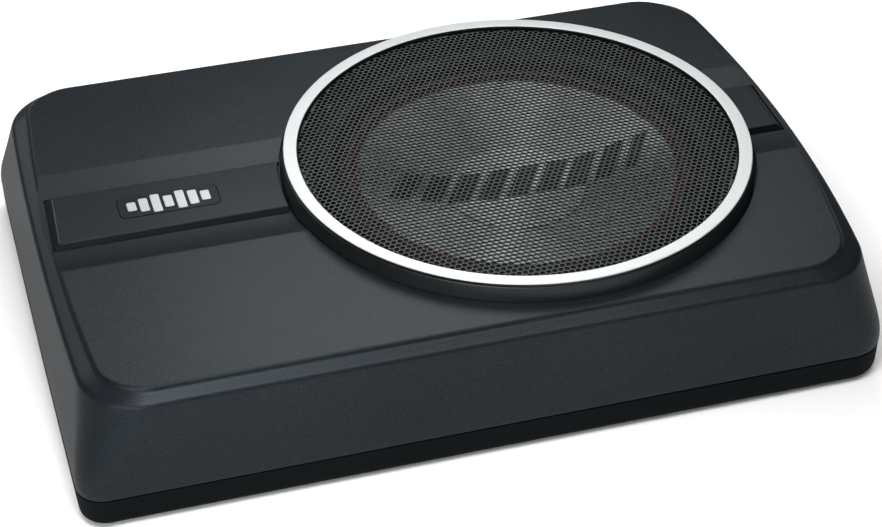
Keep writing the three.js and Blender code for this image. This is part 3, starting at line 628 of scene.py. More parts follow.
# --------------------------------------------------------------------------- top housing
def make_housing():
    step = inset(lerp(P, G, 0.14), 0.0, 58.75)           # foot of the small step round the plateau
    levels = []
    levels += quad(inset(W, 0.75, 15.3), inset(W, 0.12, 15.3), inset(W, 0.12, 16.0), 3)
    low = inset(W, 0.05, 17.2)
    levels += quad(low, inset(W, 0.0), lerp(W, G, 0.22), 9)
    levels += [lerp(W, G, 0.5), lerp(W, G, 0.75)]
    levels += quad(lerp(W, G, 0.955), G, lerp(G, step, 0.30), 6)
    levels += [lerp(G, step, 0.6)]
    levels += quad(lerp(G, step, 0.86), step, lerp(step, P, 0.55), 4)
    levels += quad(lerp(step, P, 0.72), P, inset(P, 0.7), 4)
    ob = loft("housing_shell", stack(levels))
    inner = loft("t_inner", stack([
        inset(W, 2.8, 13.0), inset(W, 2.8), inset(G, 3.0, 54.0), inset(P, 2.6, 57.5)], n=8, m=8, straight=2))
    pad = prism("t_pad", rect(-180, 180, VY0 - 3, VY1 + 3), 54.9, 59)
    boolean(inner, [pad])
    boolean(ob, [inner])
    adds = [lathe("t_ring", [(82, 48.7), (102.6, 48.7), (102.6, 58.6), (82, 58.6)], 128)]
    block = prism("t_block", rect(-136.5, -33.5, 16.5, 53.5), 100.2, 130, "y")
    hull = loft("t_hull", stack([inset(W, 0.3, 15.4), inset(W, 0.3), inset(G, 0.3), inset(P, 0.3, 60.2)], n=8, m=8, straight=2))
    m = block.modifiers.new("i", "BOOLEAN")
    m.operation, m.solver, m.object = "INTERSECT", "EXACT", hull
    apply_mods(block)
    remove(hull)
    adds.append(block)
    for sx in (-150, 150):
        for sy in (-98, 98):
            adds.append(cyl("t_post", sx, sy, 4.5, 12.3, 55.4, 24))
    for a in (45, 135, 225, 315):
        adds.append(cyl("t_boss", CX + 94 * math.cos(math.radians(a)), CY + 94 * math.sin(math.radians(a)), 4, 40, 50, 24))
    boolean(ob, adds, "UNION")
    cuts = [lathe("t_well", [(0, 30), (84, 30), (84, 51.5), (99.5, 51.5), (99.5, 57.2), (102.4, 57.2), (102.4, 66), (0, 66)], 160)]
    ys = [VY0 - 2.0] + list(np.linspace(VY0 - 0.9, VY0 + 0.9, 5)) + list(VY0 + 34.25 * (1 - np.cos(np.linspace(0.42, math.pi / 2, 14)))) \
        + list(VY1 - 34.25 * (1 - np.cos(np.linspace(math.pi / 2, 0.42, 14)[1:]))) + list(np.linspace(VY1 - 0.9, VY1 + 0.9, 5)) + [VY1 + 2.0]
    prof = [(y, valley_z(y)) for y in ys] + [(VY1 + 2.0, 70), (VY0 - 2.0, 70)]
    cuts.append(prism("t_valley", prof, -185, 185, "x"))
    for sgn in (-1, 1):
        cuts.append(prism("t_bar", bar_outline(sgn, BAR["side"] + 0.55, BAR["end"] + 0.5, 101.9), BAR["z0"] - 0.3, 64))
    cuts.append(prism("t_panel", rect(-134, -36, 19, 51, 2.0), 102.5, 130, "y"))
    cuts.append(prism("t_window", rect(-132, -38, 21, 49, 1.0), 95, 110, "y"))
    for sx in (-150, 150):
        for sy in (-98, 98):
            cuts.append(cyl("t_hole", sx, sy, 1.9, 8, 32, 20))
    for a in (45, 135, 225, 315):
        cuts.append(cyl("t_hole", CX + 94 * math.cos(math.radians(a)), CY + 94 * math.sin(math.radians(a)), 1.6, 42, 60, 20))
    boolean(ob, cuts)
    tidy(ob)
    bevel(ob, 0.28, 2, 38)
    shade(ob, 24)
    return ob


housing = make_housing()
piece(housing, BODY, "housing_plastic", HOUSING, "top_housing")


# --------------------------------------------------------------------------- bottom tray
def make_tray():
    levels = quad(inset(W, 4.6, 2.0), inset(W, 0.55, 2.0), inset(W, 0.45, 6.2), 8)
    levels += [inset(W, 0.3, 10.0)]
    levels += quad(inset(W, 0.22, 14.1), inset(W, 0.2, 14.8), inset(W, 0.8, 14.8), 3)
    ob = loft("tray_shell", stack(levels))
    inner = loft("t_inner", stack([inset(W, 5.4, 4.6), inset(W, 3.2, 5.8), inset(W, 3.0, 16.0)], n=8, m=8, straight=2))
    step = loft("t_step", stack([inset(W, 1.5, 13.2), inset(W, 1.5, 16.0)], n=8, m=8, straight=2))
    boolean(ob, [inner, step])
    adds = []
    for sx in (-150, 150):
        for sy in (-98, 98):
            adds.append(cyl("t_post", sx, sy, 5.2, 3.0, 12.0, 28))
    for x, y in ((-138, -76), (-70, -76), (-70, 76), (-138, 76)):
        adds.append(cyl("t_so", x, y, 3.5, 3.4, 12.0, 20))
        adds.append(cyl("t_pin", x, y, 1.2, 11.0, 14.7, 12))
    adds.append(prism("t_rib", rect(-54, -52, -100, 100), 3.2, 9.0))
    adds.append(prism("t_rib", rect(118, 120, -96, 96), 3.2, 8.0))
    boolean(ob, adds, "UNION")
    cuts = []
    for sx in (-150, 150):
        for sy in (-98, 98):
            cuts.append(cyl("t_cb", sx, sy, 3.9, 0, 7.4, 32))
            cuts.append(cyl("t_cb", sx, sy, 2.0, 5, 20, 20))
    for sx in (-126, 126):
        for sy in (-80, 80):
            cuts.append(cyl("t_foot", sx, sy, 9.3, 0, 3.2, 48))
    # shallow recessed fields and drain-like grooves moulded in the underside
    cuts.append(prism("t_field", rect(-46, 74, -30, 30, 4.0), 0, 2.6))
    for x in (-112, -100, -88, 100, 112):
        cuts.append(prism("t_groove", rect(x - 1.2, x + 1.2, -52, 52, 1.19), 0, 2.5))
    boolean(ob, cuts)
    tidy(ob)
    bevel(ob, 0.25, 2, 38)
    shade(ob, 24)
    return ob


tray = make_tray()
piece(tray, BODY, "tray_plastic", TRAY, "bottom_tray")

seal_outer = loft("seal_strip", stack([inset(W, 1.75, 13.5), inset(W, 1.75, 15.0)], n=8, m=8, straight=2))
boolean(seal_outer, [loft("t_seal", stack([inset(W, 2.7, 10), inset(W, 2.7, 20)], n=8, m=8, straight=2))])
shade(seal_outer, 30)
piece(seal_outer, BODY, "seal_foam", rubber("seal_foam", (0.012, 0.012, 0.012), 0.9, 400, 0.6), "housing_seal")

for i in range(1, 5):
    c = centre(f"foot_{i}") / MM
    f = lathe(f"rubber_foot_{i}", fillet([(0, 0), (8.9, 0), (9.0, 2.9), (0, 2.9)], [0, 0.9, 0.25, 0], 4, False), 64, (c.x, c.y))
    # three moulded grip rings in the sole
    boolean(f, [lathe("t_g", [(r, -1), (r + 0.8, -1), (r + 0.8, 0.35), (r, 0.35)], 48, (c.x, c.y)) for r in (2.6, 4.6, 6.6)])
    shade(f, 35)
    piece(f, BODY, "foot_rubber", RUBBER, f"foot_{i}")


def cross_recess(x, y, z0, z1, arm, half, spin=0.0):
    obs = []
    for a in (0, 90):
        t = math.radians(a + spin)
        pts = []
        for u, v in ((-arm, -half), (arm, -half), (arm, half), (-arm, half)):
            pts.append((x + u * math.cos(t) - v * math.sin(t), y + u * math.sin(t) + v * math.cos(t)))
        obs.append(prism("t_x", pts, z0, z1))
    return obs


for i in range(1, 5):
    c = centre(f"case_screw_{i}") / MM
    s = lathe(f"case_screw_body_{i}", fillet([(0, 4.7), (2.2, 4.7), (3.5, 5.6), (3.5, 7.1), (1.6, 7.1), (1.6, 26.5), (0, 28)], [0, 0.8, 0.4, 0.1, 0, 0.1, 0], 3, False), 40, (c.x, c.y))
    boolean(s, cross_recess(c.x, c.y, 3.0, 6.2, 2.0, 0.42, 17 * i))
    bevel(s, 0.08, 1, 40)
    shade(s, 35)
    piece(s, BODY, "screw_steel", SCREW, f"case_screw_{i}")

# --------------------------------------------------------------------------- trim bars and badge
for name, sgn, node in (("trim_left", -1, "trim_bar_left"), ("trim_right", 1, "trim_bar_right")):
    lv = [(0.45, BAR["z0"]), (0.0, BAR["z0"] + 0.4)]
    levels = [(bar_outline(sgn, BAR["side"] - 0.3, BAR["end"] - 0.3, BAR["rEnd"]), BAR["z0"]),
              (bar_outline(sgn, BAR["side"], BAR["end"], BAR["rEnd"]), BAR["z0"] + 0.4)]
    a = np.array([0.30, 0.50, BAR["z1"] - 0.42])          # side, end, z just below the top edge
    c0 = np.array([0.0, 0.0, BAR["z1"] - 0.0])
    b = np.array([-0.55, -0.55, BAR["z1"]])
    levels.append((bar_outline(sgn, BAR["side"] - 0.05, BAR["end"] - 0.1, BAR["rEnd"]), BAR["z0"] + 0.75))
    for t in np.linspace(0, 1, 5):
        q = a * (1 - t) ** 2 + 2 * c0 * t * (1 - t) + b * t * t
        levels.append((bar_outline(sgn, q[0], q[1], BAR["rEnd"] + 0.12 * t * t), q[2]))
    ob = loft(name, levels)
    if sgn < 0:
        lo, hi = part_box("badge")
        lo, hi = lo / MM, hi / MM
        boolean(ob, [prism("t_b", rect(lo.x - 0.25, hi.x + 0.25, lo.y - 0.25, hi.y + 0.25, 3.2, 8), lo.z - 0.3, 70)])
        bevel(ob, 0.12, 1, 50)
    shade(ob, 22)
    piece(ob, BODY, "trim_plastic", TRIM_BAR, node)

lo, hi = (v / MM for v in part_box("badge"))
plate = prism("badge_plate", rect(lo.x, hi.x, lo.y, hi.y, 3.0, 8), lo.z, hi.z - 0.2)
bevel(plate, 0.18, 2, 50)
shade(plate, 30)
piece(plate, BODY, "trim_plastic", BADGE_DARK)
heights = [6.0, 9.2, 12.4, 8.0, 12.4, 9.8, 6.6]
bx, by = (lo.x + hi.x) / 2, (lo.y + hi.y) / 2
for i, h in enumerate(heights):
    x = bx + (i - 3) * 5.2
    b = prism(f"badge_bar_{i + 1}", rect(x - 1.9, x + 1.9, by - h / 2, by + h / 2, 0.8, 4), hi.z - 0.5, hi.z)
    bevel(b, 0.12, 2, 50)
    shade(b, 30)
    piece(b, BODY, "badge_metal", BADGE_SILVER, *(["badge"] if i == 0 else []))

# --------------------------------------------------------------------------- grille
ring = lathe("ring_trim", fillet([(94.2, 66.6), (100.0, 66.6), (100.0, 67.9), (94.2, 67.9)], [0.1, 0.15, 0.45, 0.5], 5), 256)
shade(ring, 35)
piece(ring, BODY, "ring_aluminium", SILVER, "grille_ring")

gframe = lathe("grille_holder", fillet([(97.3, 55.4), (99.2, 55.4), (99.2, 57.5), (101.7, 57.5), (101.6, 60.3), (100.25, 66.3), (96.2, 66.3), (96.2, 64.9),
    (94.4, 64.9), (94.4, 63.9), (97.3, 62.2)], [0.3, 0.3, 0.2, 0.35, 0, 0.45, 0.1, 0.1, 0.25, 0.25, 0.3], 4), 256)
shade(gframe, 35)
piece(gframe, BODY, "frame_plastic", FRAME, "grille_frame")


def make_grille(pitch=2.57, web=0.47, r_hole=93.6, r_edge=95.75):
    """Perforated sheet with hexagonal holes, rows along X, slightly crowned; closed and manifold."""
    R = pitch / math.sqrt(3)
    rh = (pitch / 2 - web / 2) * 2 / math.sqrt(3)
    ang = [math.radians(90 + 60 * k) for k in range(6)]
    dirs = np.array([[math.cos(a), math.sin(a)] for a in ang])
    rows = int(100 / (1.5 * R)) + 2
    centres = []
    for j in range(-rows, rows + 1):
        y = j * 1.5 * R
        off = pitch / 2 if j % 2 else 0.0
        for i in range(-45, 46):
            x = i * pitch + off
            if math.hypot(x, y) < r_hole:
                centres.append((x, y))
    index = {}
    verts = []

    def vert(x, y):
        key = (round(x * 200), round(y * 200))
        for dx in (-1, 0, 1):
            for dy in (-1, 0, 1):
                k2 = (key[0] + dx, key[1] + dy)
                if k2 in index:
                    return index[k2]
        index[key] = len(verts)
        verts.append((x, y))
        return index[key]

    top = []                                     # top faces, as 2-D vertex ids
    hole_loops = []
    edge_count = {}
    for cx, cy in centres:
        outer = [vert(cx + R * d[0], cy + R * d[1]) for d in dirs]
        inner = []
        for d in dirs:
            inner.append(len(verts))
            verts.append((cx + rh * d[0], cy + rh * d[1]))
        for k in range(6):
            l = (k + 1) % 6
            top.append((outer[k], outer[l], inner[l], inner[k]))
            e = (outer[k], outer[l])
            edge_count[e] = edge_count.get(e, 0) + 1
        hole_loops.append(inner)
    # open border of the lattice, walked into one loop
    border = {a: b for (a, b) in edge_count if (b, a) not in edge_count}
    start = next(iter(border))
    loop = [start]
    while border[loop[-1]] != start:
        loop.append(border[loop[-1]])
    # rim: the border loop is joined to a circle by projecting each border point outwards
    rim = []
    for v in loop:
        x, y = verts[v]
        t = math.atan2(y, x)
        rim.append(len(verts))
        verts.append((r_edge * math.cos(t), r_edge * math.sin(t)))
    n = len(loop)
    for i in range(n):
        j = (i + 1) % n
        top.append((loop[i], rim[i], rim[j], loop[j]))
    V2 = np.array(verts)
    rr = np.hypot(V2[:, 0], V2[:, 1])
    crown = 66.85 - 0.95 * np.clip(rr / 94.5, 0, 1.0) ** 10
    T = np.column_stack([V2[:, 0] + CX, V2[:, 1] + CY, crown])
    B = T.copy()
    B[:, 2] -= 0.75
    N = len(verts)
    faces = [tuple(f) for f in top] + [tuple(N + q for q in reversed(f)) for f in top]
    for lp in hole_loops:
        for k in range(6):
            l = (k + 1) % 6
            faces.append((lp[k], lp[l], N + lp[l], N + lp[k]))
    for i in range(n):
        j = (i + 1) % n
        faces.append((rim[j], rim[i], N + rim[i], N + rim[j]))
    ob = mesh_object("grille_sheet", np.concatenate([T, B]), faces)
    ob.data.polygons.foreach_set("use_smooth", [True] * len(ob.data.polygons))
    return ob


grille = make_grille()
piece(grille, BODY, "mesh_steel", MESH_PAINT, "grille_mesh")


# --------------------------------------------------------------------------- driver
def cone_material(name="cone_silver", painted_highlight_gain=1.0, groove=1.0):
    """Silver-coated pulp cone: fine radial fibre and a generic row of slanted dark bars."""
    m = Nodes(name)
    obj = m.coord.outputs["Object"]
    mp = m.add("ShaderNodeMapping", vector_type="POINT")
    mp.inputs["Location"].default_value = (-RING_C.x, -RING_C.y, 0.0)
    m.link(obj, mp.inputs["Vector"])
    rt = m.add("ShaderNodeMapping", vector_type="POINT")
    rt.inputs["Rotation"].default_value = (0, 0, math.radians(2.5))
    m.link(mp.outputs[0], rt.inputs["Vector"])
    sp = m.add("ShaderNodeSeparateXYZ")
    m.link(rt.outputs[0], sp.inputs[0])
    x, y = sp.outputs[0], sp.outputs[1]
    # slanted bars: x sheared by y, repeated every 17 mm, inside a band
    xs = m.math("SUBTRACT", x, m.math("MULTIPLY", y, 0.55))
    rep = m.math("PINGPONG", m.math("ADD", xs, 0.2), 0.0065)
    bar = m.remap(rep, 0.0016, 0.0020, 0.0, 1.0)
    band = m.math("MULTIPLY", m.remap(m.math("ABSOLUTE", m.math("SUBTRACT", y, 0.0055)), 0.0098, 0.0102, 1.0, 0.0),
                  m.remap(m.math("ABSOLUTE", xs), 0.0555, 0.0560, 1.0, 0.0))
    mark = m.math("MULTIPLY", bar, band)
    fibre = m.noise(260.0, 5.0, 0.65)
    fine = m.noise(1800.0, 3.0, 0.6)
    # a gain above 1 is a painted highlight: a brighter copy of the same silver
    silver = m.mix(m.remap(fibre, 0.3, 0.7, 0.0, 1.0), tuple(painted_highlight_gain * c for c in (0.25, 0.264, 0.267)), tuple(painted_highlight_gain * c for c in (0.32, 0.338, 0.343)))
    col = m.mix(mark, silver, (0.004, 0.005, 0.005))
    rad = m.math("SQRT", m.math("ADD", m.math("MULTIPLY", x, x), m.math("MULTIPLY", y, y)))
    edge = m.remap(rad, 0.0686, 0.0690, 0.0, 1.0)      # dull dark-red varnish at the cone's edge
    col = m.mix(edge, col, (0.050, 0.006, 0.006))
    plain = m.math("MAXIMUM", mark, edge)
    m.link(col, m.b.inputs["Base Color"])
    m.link(m.remap(plain, 0.0, 1.0, 0.96, 0.0), m.b.inputs["Metallic"])
    m.link(m.remap(fine, 0.3, 0.7, 0.37, 0.45), m.b.inputs["Roughness"])
    around = m.add("ShaderNodeTangent", direction_type="RADIAL", axis="Z")
    m.link(around.outputs[0], m.b.inputs["Tangent"])
    m.b.inputs["Anisotropic"].default_value = groove
    m.b.inputs["Anisotropic Rotation"].default_value = 0.25
    m.b.inputs["Specular IOR Level"].default_value = 0.2
    m.link(m.bump(fibre, 0.06, 0.0001, m.bump(fine, 0.05, 0.00005)), m.b.inputs["Normal"])
    return m.mat


CONE = cone_material()
# painted highlight: the cap is a brighter copy of the cone's silver, for the brighter light at the centre
CAP = cone_material("cap_silver", 1.12, 0.8)
CB = "cone_assembly"
cone_prof = [(19.7, 38.4), (20.5, 38.4), (20.5, 39.6)]
under, over = [], []
for i in range(25):
    t = i / 24
    r = 20.5 + (71.0 - 20.5) * t
    z = 39.75 + (53.85 - 39.75) * t - 0.3 * math.sin(math.pi * t)
    under.append((r, z))
    over.append((r - 0.1, z + 0.78))
cone_prof = [(19.7, 38.4), (20.5, 38.4)] + under + [(76.0, 54.6), (76.0, 55.3)] + over[::-1] + [(19.7, 40.4)]
cone = lathe("cone_body", cone_prof, 160)
shade(cone, 30)
piece(cone, CB, "cone_pulp", CONE, "cone")

accent = lathe("accent_trim", fillet([(71.3, 55.55), (73.8, 55.6), (73.8, 56.6), (71.3, 56.3)], [0.1, 0.1, 0.4, 0.4], 4), 160)
shade(accent, 35)
piece(accent, CB, "accent_plastic", plastic("accent_red", (0.055, 0.007, 0.007), 0.42, 1500, 0.12, 0.1, 0.3), "accent_ring")

outer, inner = [], []
for i in range(17):
    t = i / 16
    r = 29.6 * t
    z = 42.0 + 1.9 * t ** 2
    outer.append((r, z))
    inner.append((r * 0.975, z - 0.8))
cap = lathe("dust_cap_dish", outer + [(30.0, 43.6), (29.9, 43.15)] + inner[::-1], 96)
shade(cap, 30)
piece(cap, CB, "cone_pulp", CAP, "dust_cap")

# surround: half roll; inner edge on the cone's rim, outer edge on the flange
top, und = [], []
for i in range(25):
    t = math.pi * i / 24
    top.append((82 + 5.6 * math.cos(t), 56.0 + 6.2 * math.sin(t)))
    und.append((82 + 5.0 * math.cos(t), 56.0 + 5.5 * math.sin(t)))
sur = lathe("surround_roll", [(87.0, 55.35), (90.5, 55.35), (90.5, 56.0)] + top + [(74.2, 56.2), (74.2, 55.6), (76.9, 55.6)] + und[::-1], 160)
shade(sur, 40)
paint(sur, SURROUND)
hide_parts("surround")

spi_r = [19.7, 22.5, 25, 27.5, 30, 32.5, 35, 37.5, 40, 46.5]
spi_z = [35.4, 35.4, 36.4, 34.9, 36.4, 34.9, 36.4, 34.9, 35.4, 35.4]
rs = np.linspace(19.7, 46.5, 60)
zs = 35.4 + 0.75 * np.sin((rs - 22.5) / (40 - 22.5) * 2 * math.pi * 3.5) * ((rs > 22.5) & (rs < 40))
spi = lathe("spider_disc", [(r, z) for r, z in zip(rs, zs)] + [(r, z - 0.6) for r, z in zip(rs[::-1], zs[::-1])], 96)
shade(spi, 40)


def radial_blend(ob):
    """Bakes the object's transform into its mesh."""
    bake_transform(ob)


radial_blend(sur)


def fabric_spider():
    m = Nodes("spider_cotton")
    obj = m.coord.outputs["Object"]
    wv = m.add("ShaderNodeTexWave", wave_type="BANDS", bands_direction="X")
    wv.inputs["Scale"].default_value = 420.0
    m.link(obj, wv.inputs["Vector"])
    wv2 = m.add("ShaderNodeTexWave", wave_type="BANDS", bands_direction="Y")
    wv2.inputs["Scale"].default_value = 420.0
    m.link(obj, wv2.inputs["Vector"])
    h = m.math("MULTIPLY", wv.outputs["Fac"], wv2.outputs["Fac"])
    col = m.mix(h, (0.34, 0.22, 0.07), (0.56, 0.40, 0.16))
    m.link(col, m.b.inputs["Base Color"])
    m.link(m.remap(h, 0, 1, 0.75, 0.92), m.b.inputs["Roughness"])
    m.link(m.bump(h, 0.5, 0.0001), m.b.inputs["Normal"])
    return m.mat


paint(spi, fabric_spider())
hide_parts("spider")
radial_blend(spi)

TINSEL = metal("tinsel_braid", (0.62, 0.43, 0.22), 0.42, 2500, 0.5, 0.15)
for node, sgn in (("tinsel_lead_left", -1), ("tinsel_lead_right", 1)):
    lo, hi = (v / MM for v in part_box(node))
    pts = [Vector((CX - 46.8, sgn * 8, 39.6)), Vector((CX - 40, sgn * 7.6, 40.4)), Vector((CX - 32, sgn * 6.6, 38.6)), Vector((CX - 25, sgn * 5.2, 38.2)), Vector((CX - 20.3, sgn * 4.4, 37.3))]
    path = []
    for i in range(len(pts) - 1):
        p0, p1, p2, p3 = pts[max(i - 1, 0)], pts[i], pts[i + 1], pts[min(i + 2, len(pts) - 1)]
        for k in range(8):
            t = k / 8
            path.append(0.5 * ((2 * p1) + (p2 - p0) * t + (2 * p0 - 5 * p1 + 4 * p2 - p3) * t * t + (3 * p1 - p0 - 3 * p2 + p3) * t ** 3))
    path.append(pts[-1])
    verts, faces, S = [], [], 10
    for i, p in enumerate(path):
        d = (path[min(i + 1, len(path) - 1)] - path[max(i - 1, 0)]).normalized()
        u = d.cross(Vector((0, 0, 1))).normalized()
        v = u.cross(d)
        for k in range(S):
            a = 2 * math.pi * k / S + i * 0.35
            verts.append(tuple(p + 0.42 * (1 + 0.12 * math.cos(5 * a)) * (u * math.cos(2 * math.pi * k / S) + v * math.sin(2 * math.pi * k / S))))
    for i in range(len(path) - 1):
        for k in range(S):
            l = (k + 1) % S
            faces.append((i * S + k, i * S + l, (i + 1) * S + l, (i + 1) * S + k))
    faces += [tuple(reversed(range(S))), tuple(range((len(path) - 1) * S, len(path) * S))]
    ob = mesh_object(node + "_braid", verts, faces)
    shade(ob, 40, False)
    paint(ob, TINSEL)
    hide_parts(node)
    radial_blend(ob)

# --------------------------------------------------------------------------- CAD nodes that stay, with better materials
COPPER = metal("enamelled_copper", (0.62, 0.26, 0.10), 0.3, 900, 0.4, 0.1, 0.9, stretch=(1, 1, 14))
STEEL = metal("zinc_plated_steel", (0.46, 0.47, 0.48), 0.32, 1200, 0.2, 0.08)
keep = {
    "driver_basket": ("basket_steel", metal("basket_powder_coat", (0.004, 0.004, 0.0045), 0.5, 1600, 0.35, 0.1, 0.2)),
    "driver_gasket": ("seal_foam", rubber("gasket_foam", (0.012, 0.012, 0.012), 0.9, 500, 0.6)),
    "coil_former": ("former_paper", plastic("former_kapton", (0.30, 0.15, 0.05), 0.4, 800, 0.2, 0.1)),
    "coil_winding": ("winding_copper", COPPER),
    "top_plate": ("motor_steel", STEEL),
    "yoke": ("motor_steel", STEEL),
    "magnet": ("magnet_ferrite", plastic("ferrite", (0.045, 0.045, 0.047), 0.62, 700, 0.5, 0.15, 0.4)),
    "terminal_strip": ("fibre_board", plastic("fibre_strip", (0.17, 0.10, 0.05), 0.7, 600, 0.4, 0.2)),
    "amplifier_board": ("circuit_board", plastic("solder_mask", (0.010, 0.085, 0.030), 0.35, 500, 0.3, 0.2)),
    "jack_board": ("circuit_board", plastic("solder_mask_b", (0.010, 0.085, 0.030), 0.35, 500, 0.3, 0.2)),
    "heat_sink": ("heat_sink_aluminium", metal("extruded_aluminium", (0.66, 0.67, 0.68), 0.3, 900, 0.3, 0.06, stretch=(1, 0.08, 1))),
    "speaker_lead": ("wire_insulation", plastic("wire_red", (0.26, 0.012, 0.010), 0.4, 900, 0.15, 0.1)),
    "transformer": ("winding_copper", COPPER),
    "phase_switch_body": ("component_plastic", plastic("switch_body", (0.016, 0.016, 0.018), 0.5, 1400, 0.25)),
    "lowpass_pot": ("pot_metal", STEEL),
    "level_pot": ("pot_metal", STEEL),
}
for i in (1, 2):
    keep[f"power_transistor_{i}"] = ("component_plastic", plastic(f"epoxy_{i}", (0.016, 0.016, 0.018), 0.5, 1300, 0.3))
    keep[f"capacitor_{i}"] = ("capacitor_sleeve", plastic(f"sleeve_{i}", (0.015, 0.03, 0.10), 0.25, 500, 0.1))
for i in range(1, 5):
    keep[f"driver_screw_{i}"] = ("screw_steel", SCREW)
for node, (slot_name, material) in keep.items():
    paint(NODES[node], material)

# --------------------------------------------------------------------------- connector panel
PANEL = plastic("panel_black", (0.015, 0.0155, 0.0165), 0.55, 1400, 0.4, 0.1, 0.45)
SOCKET = plastic("socket_black", (0.011, 0.011, 0.012), 0.45, 1800, 0.15, 0.08)
SOCKET_L = plastic("socket_grey", (0.36, 0.37, 0.37), 0.45, 1800, 0.15, 0.05)
KNOB = plastic("knob_black", (0.013, 0.013, 0.014), 0.5, 1800, 0.2, 0.08)
MARK = plastic("print_white", (0.70, 0.71, 0.72), 0.5, 1500, 0.05, 0.03)
GOLD = metal("gold_plate", (0.90, 0.66, 0.28), 0.22, 1500, 0.08, 0.04)
TIN = metal("tinned_contact", (0.70, 0.70, 0.71), 0.25, 1500, 0.1, 0.04)

LOW_Z, HIGH_Z = 28.0, 44.0
PX0, PX1 = -133.7, -36.3
SOCKETS = {
    "power_socket": dict(x=-122, w=20, h=11.6, y1=112.0, cw=16.4, ch=8.2, cy=100.5, slot="socket_plastic", mat=SOCKET, pins=4, pw=1.0, ph=1.6, pl=8.0, rows=1),
    "speaker_input_socket": dict(x=-98.5, w=17, h=11, y1=112.0, cw=13.6, ch=7.6, cy=101.0, slot="socket_plastic_light", mat=SOCKET_L, pins=4, pw=0.7, ph=0.7, pl=7.5, rows=1),
    "remote_control_jack": dict(x=-79, w=12.4, h=11.2, y1=111.0, cw=9.0, ch=7.6, cy=100.5, slot="socket_plastic", mat=SOCKET, pins=6, pw=0.4, ph=0.4, pl=6.0, rows=1),
}
plate = prism("panel_plate", rect(PX0, PX1, 19.3, 50.7, 1.6), 102.8, 104.8, "y")
cuts = []
for s in SOCKETS.values():
    cuts.append(prism("t", rect(s["x"] - s["w"] / 2 - 0.3, s["x"] + s["w"] / 2 + 0.3, LOW_Z - s["h"] / 2 - 0.3, LOW_Z + s["h"] / 2 + 0.3), 100, 110, "y"))
cuts.append(prism("t", rect(-118 - 13.3, -118 + 13.3, HIGH_Z - 4.8, HIGH_Z + 4.8), 100, 110, "y"))
for x in (-60.5, -45.5):
    cuts.append(cyl_y("t", x, LOW_Z, 4.9, 100, 110, 40))
for x in (-66, -47.5):
    cuts.append(cyl_y("t", x, HIGH_Z, 3.4, 100, 110, 40))
cuts.append(cyl_y("t", -98, HIGH_Z, 1.9, 100, 110, 32))
cuts.append(prism("t", rect(-88.3, -79.7, HIGH_Z - 2, HIGH_Z + 2), 100, 110, "y"))
boolean(plate, cuts)
bevel(plate, 0.2, 2, 40)
shade(plate, 28)
piece(plate, BODY, "panel_plastic", PANEL, "control_panel")

# raised tick marks round the knobs and position dots by the switch
for kx in (-66, -47.5):
    for i in range(11):
        a = math.radians(-150 + 30 * i)
        u, v = math.sin(a), math.cos(a)
        r0, r1, hw = 6.0, (6.9 if i % 5 else 7.2), 0.16
        pts = [(kx + u * r0 + v * hw, HIGH_Z + v * r0 - u * hw), (kx + u * r1 + v * hw, HIGH_Z + v * r1 - u * hw),
               (kx + u * r1 - v * hw, HIGH_Z + v * r1 + u * hw), (kx + u * r0 - v * hw, HIGH_Z + v * r0 + u * hw)]
        if HIGH_Z + v * r1 > 50.4:
            continue
        t = prism(f"tick_{'a' if kx < -60 else 'b'}_{i}", pts, 104.7, 104.92, "y")
        piece(t, BODY, "badge_metal", MARK)
for i, x in enumerate((-86, -82)):
    t = cyl_y(f"switch_dot_{i}", x, HIGH_Z + 3.4, 0.42, 104.7, 104.92, 20)
    piece(t, BODY, "badge_metal", MARK)

for node, s in SOCKETS.items():
    x0, x1 = s["x"] - s["w"] / 2, s["x"] + s["w"] / 2
    z0, z1 = LOW_Z - s["h"] / 2, LOW_Z + s["h"] / 2
    ob = prism(node + "_body", rect(x0, x1, z0, z1, 0.5, 3), 93.9, s["y1"], "y")
    cav = prism("t", rect(s["x"] - s["cw"] / 2, s["x"] + s["cw"] / 2, LOW_Z - s["ch"] / 2, LOW_Z + s["ch"] / 2, 0.3, 3), s["cy"], 120, "y")
    cuts = [cav]
    # a latch notch in the upper wall of each socket
    cuts.append(prism("t", rect(s["x"] - 2.2, s["x"] + 2.2, LOW_Z + s["ch"] / 2 - 0.5, z1 + 1), s["y1"] - 2.6, 120, "y"))
    boolean(ob, cuts)
    bevel(ob, 0.22, 2, 40)
    shade(ob, 28)
    piece(ob, BODY, s["slot"], s["mat"], node)
    n = s["pins"]
    span = s["cw"] - 3.2
    for i in range(n):
        px = s["x"] - span / 2 + span * i / (n - 1)
        pin = prism(f"{node}_pin_{i + 1}", rect(px - s["pw"] / 2, px + s["pw"] / 2, LOW_Z - s["ph"] / 2, LOW_Z + s["ph"] / 2), s["cy"] - 0.4, s["cy"] + s["pl"], "y")
        bevel(pin, 0.12, 1, 40)
        shade(pin, 30)
        piece(pin, BODY, "contact_gold", TIN)

for node, x, ins in (("rca_jack_left", -60.5, (0.55, 0.56, 0.56)), ("rca_jack_right", -45.5, (0.42, 0.015, 0.012))):
    prof = fillet([(4.6, 93.9), (4.6, 105.1), (5.6, 105.1), (5.6, 106.6), (4.15, 106.6), (4.15, 113.4), (3.5, 113.4), (3.5, 104.0), (2.2, 104.0), (2.2, 93.9)],
                  [0, 0, 0.2, 0.35, 0.1, 0.25, 0.2, 0, 0, 0], 3)
    ob = lathe_y(node + "_shell", x, LOW_Z, prof, 56)
    shade(ob, 32)
    piece(ob, BODY, "contact_gold", GOLD, node)
    prof = fillet([(1.7, 104.0), (3.35, 104.0), (3.35, 112.4), (1.7, 112.4)], [0, 0, 0.25, 0.25], 3)
    ob = lathe_y(node + "_insulator", x, LOW_Z, prof, 48)
    shade(ob, 32)
    piece(ob, BODY, "socket_plastic", plastic(node + "_insulator", ins, 0.4, 1500, 0.1, 0.05))

